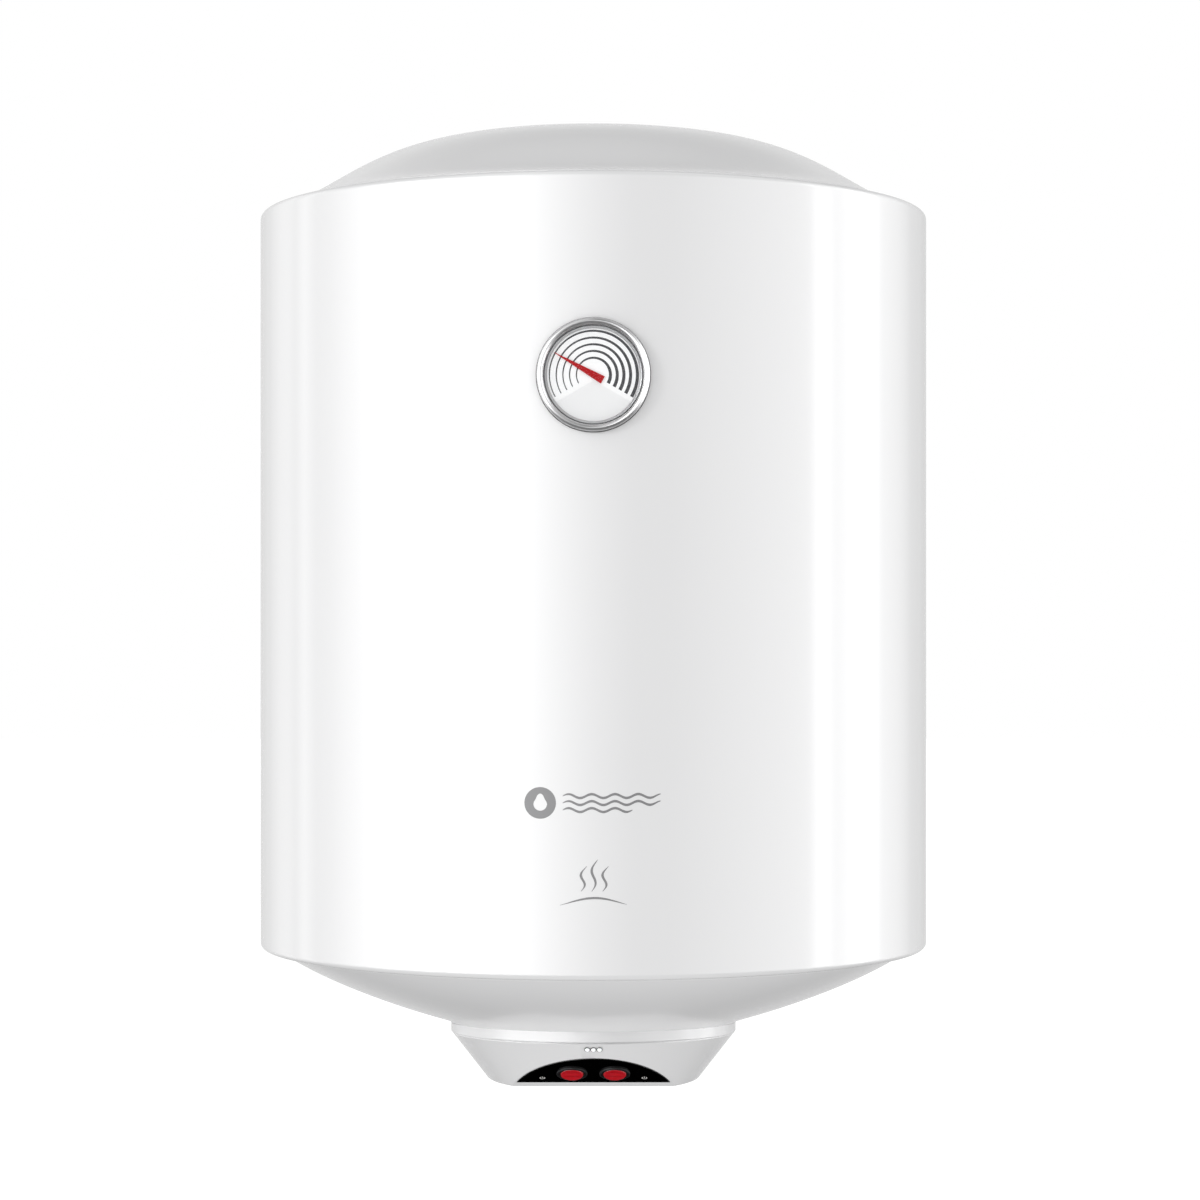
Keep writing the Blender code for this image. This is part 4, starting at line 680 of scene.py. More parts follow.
class Finishes:
    """Every material, made on first use."""

    def __init__(self):
        self.made = {}
        self.groups = {}

    def group(self, name):
        makers = {
            "fine surface": fine_surface_group,
            "handling marks": handling_group,
            "drawn grain": drawn_grain_group,
        }
        if name not in self.groups:
            self.groups[name] = makers[name]()
        return self.groups[name]

    def place_group(self, tree, name, place, **values):
        node = tree.nodes.new("ShaderNodeGroup")
        node.node_tree = self.group(name)
        node.location = place
        for key, value in values.items():
            node.inputs[key.replace("_", " ")].default_value = value
        return node

    def base(self, name):
        material = bpy.data.materials.new(name)
        material.use_nodes = True
        return material, material.node_tree, material.node_tree.nodes["Principled BSDF"]

    def worked(
        self,
        name,
        colour,
        roughness,
        marks=None,
        amount=0.12,
        spread=0.05,
        clouds=9.0,
        grain=300.0,
        fine=0.3,
        depth=0.00002,
        grain_group="fine surface",
        **sockets,
    ):
        """A surface with handling marks and a fine relief."""
        if name in self.made:
            return self.made[name]
        material, tree, shader = self.base(name)
        colour = (*colour[:3], 1.0)
        marks = (*marks[:3], 1.0) if marks else tuple(value * 0.86 for value in colour[:3]) + (1.0,)
        wear = self.place_group(
            tree, "handling marks", (-600, 200), Color=colour, Mark_Color=marks,
            Roughness=roughness, Spread=spread, Amount=amount, Scale=clouds,
        )
        join(tree, (wear, "Color", shader, "Base Color"), (wear, "Roughness", shader, "Roughness"))
        if grain_group == "fine surface":
            relief = self.place_group(tree, grain_group, (-600, -200), Scale=grain, Fine=fine)
        else:
            relief = self.place_group(tree, grain_group, (-600, -200), Scale=grain)
        bump = add_node(tree, "ShaderNodeBump", (-300, -200))
        put(bump, {"Strength": 1.0, "Distance": depth})
        join(tree, (relief, "Height", bump, "Height"), (bump, "Normal", shader, "Normal"))
        for key, value in sockets.items():
            shader.inputs[key.replace("_", " ")].default_value = value
        self.made[name] = material
        return material

    def enamel(self):
        colour = bpy.context.scene.heater_casing.enamel
        return self.worked(
            "stoved white enamel", colour, 0.13, amount=0.05, spread=0.05, clouds=6.0, grain=260.0,
            fine=0.12, depth=0.000012, Coat_Weight=0.6, Coat_Roughness=0.06,
        )

    def white_plastic(self):
        colour = bpy.context.scene.heater_casing.plastic
        return self.worked(
            "gloss white moulding", colour, 0.17, amount=0.06, spread=0.08, clouds=8.0,
            grain=1100.0, fine=0.5, depth=0.000006, Coat_Weight=0.25, Coat_Roughness=0.12,
        )

    def panel_black(self):
        colour = bpy.context.scene.heater_control.panel
        return self.worked(
            "gloss black panel", colour, 0.06, marks=(0.02, 0.02, 0.02), amount=0.25, spread=0.08,
            clouds=40.0, grain=2500.0, fine=0.4, depth=0.000002, Coat_Weight=0.3,
            Coat_Roughness=0.03,
        )

    def switch_black(self):
        return self.worked(
            "satin black switch moulding", (0.012, 0.012, 0.013), 0.4, marks=(0.02, 0.02, 0.02),
            amount=0.3, spread=0.12, clouds=60.0, grain=3500.0, fine=0.5, depth=0.000006,
            Specular_IOR_Level=0.25,
        )

    def rocker_red(self):
        colour = bpy.context.scene.heater_control.rocker
        return self.worked(
            "translucent red cap", colour, 0.1, marks=tuple(value * 0.7 for value in colour),
            amount=0.35, spread=0.08, clouds=120.0, grain=2600.0, fine=0.5, depth=0.000004,
            Subsurface_Weight=0.25, Subsurface_Scale=0.002, Coat_Weight=0.6, Coat_Roughness=0.04,
        )

    def lamp_white(self):
        return self.worked(
            "milky lamp lens", (0.86, 0.87, 0.88), 0.12, amount=0.1, spread=0.05, clouds=300.0,
            grain=4000.0, fine=0.5, depth=0.000002, Subsurface_Weight=0.2, Subsurface_Scale=0.001,
            Emission_Color=(1.0, 1.0, 1.0, 1.0), Emission_Strength=0.35, Coat_Weight=0.8,
            Coat_Roughness=0.03,
        )

    def chrome(self):
        return self.worked(
            "bright chrome", (0.54, 0.54, 0.545), 0.16, marks=(0.47, 0.47, 0.475), amount=0.25,
            spread=0.06, clouds=70.0, grain=1500.0, fine=0.5, depth=0.000001, Metallic=0.62,
        )

    def satin_ring(self):
        return self.worked(
            "satin plated ring", (0.52, 0.52, 0.525), 0.32, marks=(0.45, 0.45, 0.455), amount=0.3,
            spread=0.1, clouds=90.0, grain=3000.0, depth=0.000002, grain_group="drawn grain",
            Metallic=1.0,
        )

    def dial_ink(self):
        colour = bpy.context.scene.heater_gauge.ink
        return self.worked(
            "printed scale ink", colour, 0.45, amount=0.2, clouds=200.0, grain=6000.0, depth=0.000002,
        )

    def print_grey(self):
        colour = bpy.context.scene.heater_casing.print_grey
        return self.worked(
            "printed grey mark", colour, 0.32, amount=0.2, clouds=90.0, grain=5000.0, depth=0.000002,
        )

    def needle_red(self):
        colour = bpy.context.scene.heater_gauge.needle
        return self.worked(
            "painted red needle", colour, 0.4, amount=0.2, clouds=200.0, grain=4000.0,
            depth=0.000003, Specular_IOR_Level=0.15,
        )

    def dial_card(self):
        """White card that is a little greyer below the scale, with a faint painted glow that whitens it."""
        name = "dial card"
        if name in self.made:
            return self.made[name]
        colour = bpy.context.scene.heater_gauge.dial
        material, tree, shader = self.base(name)
        coords = add_node(tree, "ShaderNodeTexCoord", (-1100, 200))
        split = add_node(tree, "ShaderNodeSeparateXYZ", (-1300, 200))
        side = add_node(tree, "ShaderNodeMath", (-1100, 0), operation="ABSOLUTE")
        slant = add_node(tree, "ShaderNodeMath", (-900, 0), operation="MULTIPLY_ADD")
        put(slant, {1: math.tan(math.radians(30))})
        fade = add_node(tree, "ShaderNodeMapRange", (-700, 200))
        put(fade, {"From Min": GAUGE_Z - 4.0 * MM, "From Max": GAUGE_Z - 2.5 * MM})
        shade = add_node(tree, "ShaderNodeMix", (-480, 200), data_type="RGBA")
        put(shade, {"A": (*(value * 0.86 for value in colour), 1.0), "B": (*colour, 1.0)})
        wear = self.place_group(
            tree, "handling marks", (-260, 200), Roughness=0.5, Spread=0.08, Amount=0.1, Scale=80.0,
        )
        put(wear, {"Mark Color": (0.75, 0.75, 0.74, 1.0)})
        relief = self.place_group(tree, "fine surface", (-600, -200), Scale=3000.0, Fine=0.5)
        bump = add_node(tree, "ShaderNodeBump", (-300, -200))
        put(bump, {"Distance": 0.000004})
        join(
            tree,
            (coords, "Object", split, 0),
            (split, "X", side, 0),
            (side, 0, slant, 0),
            (split, "Z", slant, 2),
            (slant, 0, fade, "Value"),
            (fade, "Result", shade, "Factor"),
        )
        # Painted light: the card glows faintly so that it reads whiter, though it is no lamp.
        put(shader, {"Emission Color": (1.0, 1.0, 1.0, 1.0), "Emission Strength": 0.1})
        join(
            tree,
            (shade, "Result", wear, "Color"),
            (wear, "Color", shader, "Base Color"),
            (wear, "Roughness", shader, "Roughness"),
            (relief, "Height", bump, "Height"),
            (bump, "Normal", shader, "Normal"),
        )
        self.made[name] = material
        return material

    def clear(self):
        """Polished clear plastic over the dial."""
        name = "clear gauge lens"
        if name in self.made:
            return self.made[name]
        material, tree, shader = self.base(name)
        wear = self.place_group(
            tree, "handling marks", (-600, 200), Roughness=0.02, Spread=0.03, Amount=0.0, Scale=60.0,
        )
        join(tree, (wear, "Roughness", shader, "Roughness"))
        put(
            shader,
            {
                "Base Color": (0.98, 0.985, 0.99, 1.0),
                "Metallic": 0.0,
                "IOR": 1.12,
                "Transmission Weight": 1.0,
            },
        )
        open_way = add_node(tree, "ShaderNodeBsdfTransparent", (300, -300))
        path = add_node(tree, "ShaderNodeLightPath", (-100, 600))
        either = add_node(tree, "ShaderNodeMath", (150, 500), operation="MAXIMUM")
        mix = add_node(tree, "ShaderNodeMixShader", (550, 100))
        end = tree.nodes["Material Output"]
        join(
            tree,
            (path, "Is Shadow Ray", either, 0),
            (path, "Is Diffuse Ray", either, 1),
            (either, 0, mix, "Fac"),
            (shader, 0, mix, 1),
            (open_way, 0, mix, 2),
            (mix, 0, end, "Surface"),
        )
        self.made[name] = material
        return material

    def metal(self, name, colour, roughness, **extra):
        values = {"amount": 0.3, "spread": 0.15, "clouds": 30.0, "grain": 1200.0, "depth": 0.00001}
        values.update(extra)
        return self.worked(name, colour, roughness, Metallic=1.0, **values)

    def zinc(self):
        return self.metal("zinc plated steel", (0.66, 0.67, 0.68), 0.3, marks=(0.52, 0.53, 0.50))

    def tank_steel(self):
        return self.metal(
            "rolled tank steel", (0.40, 0.41, 0.42), 0.38, marks=(0.25, 0.24, 0.24),
            grain_group="drawn grain", grain=500.0,
        )

    def heating_steel(self):
        return self.metal("annealed element tube", (0.50, 0.42, 0.36), 0.32, marks=(0.30, 0.28, 0.34))

    def brass(self):
        return self.metal("turned brass", (0.78, 0.58, 0.26), 0.28, marks=(0.55, 0.40, 0.18))

    def light_alloy(self):
        return self.metal(
            "cast light alloy", (0.55, 0.55, 0.54), 0.5, marks=(0.38, 0.38, 0.38), depth=0.00005,
        )

    def foam(self):
        return self.worked(
            "rigid insulating foam", (0.78, 0.66, 0.38), 0.85, marks=(0.60, 0.46, 0.22),
            amount=0.5, spread=0.1, clouds=25.0, grain=500.0, fine=0.6, depth=0.0006,
        )

    def rubber(self):
        return self.worked(
            "black rubber", (0.018, 0.018, 0.018), 0.6, marks=(0.08, 0.08, 0.078), amount=0.35,
            spread=0.15, clouds=60.0, grain=1800.0, fine=0.6, depth=0.00002,
        )

    def plastic(self, name, colour, roughness=0.35):
        return self.worked(
            name, colour, roughness, amount=0.2, spread=0.12, clouds=50.0, grain=2200.0, fine=0.5,
            depth=0.00001,
        )

    def blue(self):
        return self.plastic("blue ring moulding", (0.012, 0.08, 0.42))

    def red(self):
        return self.plastic("red ring moulding", (0.50, 0.014, 0.014))

    def grey(self):
        return self.plastic("grey moulding", (0.20, 0.20, 0.205), 0.42)

    def natural_white(self):
        return self.plastic("natural white moulding", (0.78, 0.77, 0.74), 0.4)

    def floor(self):
        """Pale studio floor."""
        name = "pale studio floor"
        if name in self.made:
            return self.made[name]
        material, tree, shader = self.base(name)
        wear = self.place_group(
            tree, "handling marks", (-600, 200), Roughness=0.6, Spread=0.1, Amount=0.02, Scale=1.5,
        )
        put(wear, {"Color": (0.25, 0.25, 0.25, 1.0)})
        put(shader, {"Specular IOR Level": 0.0})
        join(tree, (wear, "Color", shader, "Base Color"), (wear, "Roughness", shader, "Roughness"))
        coords = add_node(tree, "ShaderNodeTexCoord", (-1700, -200))
        flat = add_node(tree, "ShaderNodeVectorMath", (-1500, -200), operation="MULTIPLY")
        put(flat, {1: (1.0, 1.0, 0.0)})
        reach = add_node(tree, "ShaderNodeVectorMath", (-1300, -400), operation="LENGTH")
        way = add_node(tree, "ShaderNodeVectorMath", (-1300, -200), operation="NORMALIZE")
        split = add_node(tree, "ShaderNodeSeparateXYZ", (-1100, -200))
        ahead = add_node(tree, "ShaderNodeMapRange", (-900, -200), interpolation_type="SMOOTHSTEP")
        put(ahead, {"From Min": 0.4, "From Max": 0.95})
        away = add_node(tree, "ShaderNodeMapRange", (-900, -450), interpolation_type="SMOOTHSTEP")
        put(away, {"From Min": 0.5, "From Max": 1.7})
        both = add_node(tree, "ShaderNodeMath", (-700, -300), operation="MULTIPLY")
        glow = add_node(tree, "ShaderNodeMath", (-500, -300), operation="MULTIPLY_ADD")
        put(glow, {1: 0.3, 2: 0.6})
        join(
            tree,
            (coords, "Object", flat, 0),
            (flat, 0, reach, 0),
            (flat, 0, way, 0),
            (way, 0, split, 0),
            (split, "Y", ahead, "Value"),
            (reach, "Value", away, "Value"),
            (ahead, "Result", both, 0),
            (away, "Result", both, 1),
            (both, 0, glow, 0),
            (glow, 0, shader, "Emission Strength"),
        )
        put(shader, {"Emission Color": (1.0, 1.0, 1.0, 1.0)})
        self.made[name] = material
        return material


finishes = Finishes()


# ---------------------------------------------------------------- casing


class HEATER_OT_casing(Operator):
    """Painted steel casing with its rolled lips, leg slots and rear seam"""

    bl_idname = "heater.casing"
    bl_label = "Casing"

    def execute(self, context):
        segments = context.scene.heater_casing.segments
        sheet = 0.6 * MM
        turn_at = SHELL_RADIUS - LIP_RADIUS
        edge = SHELL_RADIUS - LIP_WIDTH
        top_turn = (turn_at, SHELL_TOP - LIP_RADIUS)
        low_turn = (turn_at, SHELL_BOTTOM + LIP_RADIUS)
        curl = 1.2 * MM
        outline = [(edge, SHELL_TOP - 3 * curl), *arc((edge + curl, SHELL_TOP - curl), curl, 180, 90, 5)]
        outline += arc(top_turn, LIP_RADIUS, 90, 0, 12)
        outline += [(SHELL_RADIUS, z) for z in spread(top_turn[1], low_turn[1], 12)[1:-1]]
        outline += arc(low_turn, LIP_RADIUS, 0, -90, 12)
        outline += [
            *arc((edge + curl, SHELL_BOTTOM + curl), curl, 270, 180, 5), (edge, SHELL_BOTTOM + 3 * curl),
        ]
        inner = LIP_RADIUS - sheet
        outline += [(edge + sheet, SHELL_BOTTOM + 3 * curl), (edge + sheet, SHELL_BOTTOM + 2 * sheet)]
        outline += arc(low_turn, inner, -90, 0, 4)
        outline += arc(top_turn, inner, 0, 90, 4)
        outline += [(edge + sheet, SHELL_TOP - 2 * sheet), (edge + sheet, SHELL_TOP - 3 * curl)]
        casing = settle(lathe("casing_sheet", outline, segments), (0, AXIS_Y, 0))
        for name in ("bracket_leg_left", "bracket_leg_right"):
            low, high = box_of(name)
            size = (6 * MM, high.y - low.y, high.z - low.z + 2 * MM)
            web = low.x if abs(low.x) > abs(high.x) else high.x
            inward = 2 * MM if web < 0 else -2 * MM
            tool = block("leg_slot_tool", size, (web + inward, (low.y + high.y) / 2, (low.z + high.z) / 2))
            boolean(casing, tool)
        hole = settle_matrix(pin(29.8 * MM, -14 * MM, 8 * MM, 64), gauge_matrix())
        boolean(casing, hole)
        finish(casing, finishes.enamel(), "white_enamel", ("outer_shell",))
        self.make_seam()
        return {"FINISHED"}

    def make_seam(self):
        """Folded lock seam down the back of the casing."""
        half = 4.5 * MM
        profile = ((0.0, 0.0), (0.08, 0.55), (0.2, 0.7), (0.8, 0.7), (0.92, 0.55), (1.0, 0.0))
        low, high = SHELL_BOTTOM + LIP_RADIUS, SHELL_TOP - LIP_RADIUS

        def place(u, v):
            index = min(int(u * (len(profile) - 1) + 0.5), len(profile) - 1)
            across, proud = profile[index]
            x = (across - 0.5) * 2 * half
            fade = min(1.0, 32 * v, 32 * (1 - v))
            radius = SHELL_RADIUS + ((0.1 + proud) * fade - 0.2) * MM
            return Vector((x, AXIS_Y + math.sqrt(radius * radius - x * x), low + (high - low) * v))

        seam = mapped_sheet("casing_seam", len(profile) - 1, 60, place)
        work_on(seam)
        enter_edit()
        bpy.ops.mesh.extrude_region_move(TRANSFORM_OT_translate={"value": (0, -0.5 * MM, 0)})
        leave_edit()
        finish(seam, finishes.enamel(), "white_enamel", smooth=50)


class HEATER_OT_lid(Operator):
    """Domed top lid set inside the upper lip"""

    bl_idname = "heater.lid"
    bl_label = "Lid"

    def execute(self, context):
        segments = context.scene.heater_casing.segments
        edge_round = 0.9 * MM
        rim = COVER_RADIUS - edge_round
        shares = [math.sin(RIGHT_ANGLE * step / 54) for step in range(55)]
        outside = [(rim * share, top_dome(rim * share)) for share in shares]
        foot = outside[-1][1] - edge_round
        outside += arc((rim, foot), edge_round, 90, 0, 5)[1:]
        outside += [(COVER_RADIUS, SHELL_TOP - 6 * MM), (COVER_RADIUS - COVER_WALL, SHELL_TOP - 6 * MM)]
        inner = [
            share * (rim - 6 * MM)
            for share in (1.0, 0.97, 0.93, 0.88, 0.82, 0.75, 0.66, 0.5, 0.25, 0.0)
        ]
        inside = [(radius, top_dome(radius) - COVER_WALL) for radius in inner]
        lid = settle(lathe("top_lid", outside + inside, segments), (0, AXIS_Y, 0))
        finish(lid, finishes.white_plastic(), "white_plastic", ("top_cover",))
        return {"FINISHED"}


def boss_places():
    """Centre, outer radius, bore radius and face height of each boss under the lower cover."""
    face = SHELL_BOTTOM - 47 * MM
    found = []
    for low, high in ((COLD_LOW, COLD_HIGH), (HOT_LOW, HOT_HIGH)):
        found.append(((low + high) / 2, 19 * MM, 11.4 * MM, face))
    found.append(((GLAND_LOW + GLAND_HIGH) / 2, 16.5 * MM, 7.9 * MM, face))
    return found


class HEATER_OT_lower_cover(Operator):
    """Domed lower cover with its bosses, access hole and front apron"""

    bl_idname = "heater.lower_cover"
    bl_label = "Lower cover"

    def execute(self, context):
        segments = context.scene.heater_casing.segments
        step_edge = 208.5 * MM
        face = SHELL_BOTTOM - 1.0 * MM
        shares = [math.sin(RIGHT_ANGLE * step / 44) for step in range(45)]
        outside = [(step_edge * share, bottom_dome(step_edge * share)) for share in shares]
        outside[-1] = (step_edge, bottom_dome(step_edge))
        outside += [(step_edge + 0.5 * MM, face), (COVER_RADIUS - 0.7 * MM, face)]
        outside += [(COVER_RADIUS, face + 0.7 * MM), (COVER_RADIUS, SHELL_BOTTOM + 6 * MM)]
        outside.append((COVER_RADIUS - COVER_WALL, SHELL_BOTTOM + 6 * MM))
        inner = [step_edge * share for share in (0.98, 0.94, 0.88, 0.8, 0.7, 0.55, 0.4, 0.2, 0.0)]
        inside = [(radius, bottom_dome(radius) + COVER_WALL) for radius in inner]
        cover = settle(lathe("lower_cover", outside + inside, segments), (0, AXIS_Y, 0))
        access = pin(64 * MM, SHELL_BOTTOM - 80 * MM, SHELL_BOTTOM, 96)
        boolean(cover, settle(access, (0, AXIS_Y - 6 * MM, 0)))
        for centre, radius, bore, low in boss_places():
            hole = pin((radius + bore) / 2, SHELL_BOTTOM - 80 * MM, SHELL_BOTTOM, 64)
            boolean(cover, settle(hole, (centre.x, centre.y, 0)))
            reach = math.hypot(centre.x, centre.y - AXIS_Y) + radius
            top = bottom_dome(reach) + 5 * MM
            bevel = 1.0 * MM
            ring = [(bore, top), (bore, low + bevel), (bore + bevel, low)]
            ring += [
                (radius - bevel, low), *arc((radius - bevel, low + bevel), bevel, -90, 0, 4), (radius, top),
            ]
            tube = settle(lathe("boss_tool", ring, 72), (centre.x, centre.y, 0))
            boolean(cover, tube, "UNION")
        finish(cover, finishes.white_plastic(), "white_plastic", ("bottom_cover",))
        self.make_apron()
        return {"FINISHED"}

    def make_apron(self):
        """Shallow swelling of the cover that meets the housing's band, widest at the front."""
        reach = (
            (0, 22.0), (12, 24.5), (24, 30.0), (38, 25.0), (52, 16.0), (66, 8.0), (80, 2.5), (180, 2.0),
        )
        deep = ((0, 1.5), (40, 1.4), (80, 1.0), (180, 0.9))

        def place(u, v):
            angle = (v - 0.5) * 2 * HALF_TURN
            degrees = abs(math.degrees(angle))
            width = between(reach, degrees) * MM
            inner = HOUSING_RADIUS - 4.0 * MM
            share = min(1.0, u * 1.25)
            radius = inner + (width + 4.0 * MM) * share
            x = radius * math.sin(angle)
            y = HOUSING_Y - radius * math.cos(angle)
            dome = bottom_dome(math.hypot(x, y - AXIS_Y))
            if u > 0.8:
                return Vector((x, y, dome + (u - 0.8) * 5 * 0.8 * MM))
            fall = max(0.0, (radius - HOUSING_RADIUS) / max(width, 1e-6))
            depth = between(deep, degrees) * MM * (1 - fall) ** 2
            return Vector((x, y, dome - depth))

        apron = mapped_sheet("lower_cover_apron", 20, 240, place, wrap=True)
        finish(apron, finishes.white_plastic(), "white_plastic", smooth=40)


# ---------------------------------------------------------------- control housing


class HEATER_OT_housing(Operator):
    """Bowl-shaped control housing with its facet and screw wells"""

    bl_idname = "heater.housing"
    bl_label = "Control housing"

    def execute(self, context):
        segments = context.scene.heater_casing.segments
        slope = math.atan2(HOUSING_RADIUS - HOUSING_FOOT_RADIUS, BAND_LOW - HOUSING_FOOT)
        fillet = 3.0 * MM
        reach = fillet * math.tan((RIGHT_ANGLE - slope) / 2)
        foot_centre = (HOUSING_FOOT_RADIUS - reach, HOUSING_FOOT + fillet)
        shallow = 0.6 * MM
        outline = [(0, HOUSING_FOOT + shallow), (HOUSING_FOOT_RADIUS - 31 * MM, HOUSING_FOOT + shallow)]
        outline += [(HOUSING_FOOT_RADIUS - 30 * MM, HOUSING_FOOT)]
        outline += arc(foot_centre, fillet, -90, -math.degrees(slope), 6)
        cone_top = HOUSING_RADIUS - 0.7 * MM
        band_round = 0.7 * MM
        groove = BAND_LOW - 0.7 * MM
        outline += [(cone_top - 0.3 * MM, groove), (cone_top - 0.3 * MM, BAND_LOW - 0.2 * MM)]
        outline += arc((HOUSING_RADIUS - band_round, BAND_LOW + band_round), band_round, -80, 0, 5)
        outline += [(HOUSING_RADIUS, BAND_LOW + 3 * MM), (HOUSING_RADIUS, SHELL_BOTTOM - 20 * MM)]
        outline += [(0, SHELL_BOTTOM - 20 * MM)]
        bowl = lathe("control_housing_bowl", outline, segments)
        for vert in bowl.data.vertices:
            if abs(vert.co.z - BAND_LOW) < 1.5 * MM:
                vert.co.z += HOUSING_TILT * -vert.co.y
        settle(bowl, (0, HOUSING_Y, 0))
        self.cut_facet(bowl)
        dome_shares = [math.sin(RIGHT_ANGLE * step / 36) for step in range(37)]
        edge = 180 * MM
        dome = [(edge * share, bottom_dome(edge * share) - 1.1 * MM) for share in dome_shares]
        dome += [(edge, SHELL_BOTTOM), (0, SHELL_BOTTOM)]
        boolean(bowl, settle(lathe("dome_tool", dome, 192), (0, AXIS_Y, 0)))
        self.hollow(bowl)
        round_edges(bowl, 0.35 * MM, 2, 35)
        finish(bowl, finishes.white_plastic(), "white_plastic", ("control_housing",), smooth=25)
        return {"FINISHED"}

    def cut_facet(self, bowl):
        """Planes off the front with a bisect."""
        matrix = facet_matrix()
        outward = matrix.to_3x3() @ Vector((0, 0, 1))
        work_on(bowl)
        enter_edit()
        bpy.ops.mesh.bisect(
            plane_co=matrix.translation, plane_no=outward, use_fill=True, clear_outer=True,
            clear_inner=False,
        )
        leave_edit()

    def hollow(self, bowl):
        """Takes out the inside, the panel's window, the lamp holes and the screw wells."""
        wall = 2.5 * MM
        slope = HOUSING_RADIUS - HOUSING_FOOT_RADIUS
        inner = HOUSING_FOOT_RADIUS - 3.2 * MM
        cavity = [(0, HOUSING_FOOT + wall), (inner - 2 * MM, HOUSING_FOOT + wall)]
        cavity += [
            (inner, HOUSING_FOOT + wall + 1.5 * MM), (inner + slope, BAND_LOW),
            (inner + slope, SHELL_BOTTOM),
        ]
        cavity += [(0, SHELL_BOTTOM)]
        tool = settle(lathe("cavity_tool", cavity, 128), (0, HOUSING_Y, 0))
        size = 0.3
        slab = settle_matrix(
            block("slab_tool", (size, size, size), (0, 0, size / 2 - wall)), facet_matrix(),
        )
        boolean(tool, slab)
        for place in post_places():
            post = pin(7 * MM, HOUSING_FOOT, place.z, 48)
            boolean(tool, settle(post, (place.x, place.y, 0)))
        boolean(bowl, tool)
        window = prism(
            "window_tool", facet_outline(PANEL_FOOT - 0.3 * MM, PANEL_BORDER - 0.3 * MM), -8 * MM, 4 * MM,
        )
        boolean(bowl, settle_matrix(window, facet_matrix()))
        for x in (-LAMP_PITCH, 0, LAMP_PITCH):
            hole = settle(pin(1.65 * MM, -8 * MM, 4 * MM, 32), (x, 0, 0))
            boolean(bowl, settle_matrix(hole, lamp_matrix()))
        for place in post_places():
            well = [(0, HOUSING_FOOT - MM), (4.2 * MM, HOUSING_FOOT - MM), (4.2 * MM, place.z - 4 * MM)]
            well += [(2.0 * MM, place.z - 4 * MM), (2.0 * MM, place.z + MM), (0, place.z + MM)]
            boolean(bowl, settle(lathe("well_tool", well, 48), (place.x, place.y, 0)))


def post_places():
    """Top centre of each screw post in the housing, from the housing's screws."""
    found = []
    for name in ("housing_screw_1", "housing_screw_2"):
        low, high = box_of(name)
        found.append(
            Vector(((low.x + high.x) / 2, (low.y + high.y) / 2, low.z + 2.4 * MM + 0.4 * MM + 4 * MM))
        )
    return found


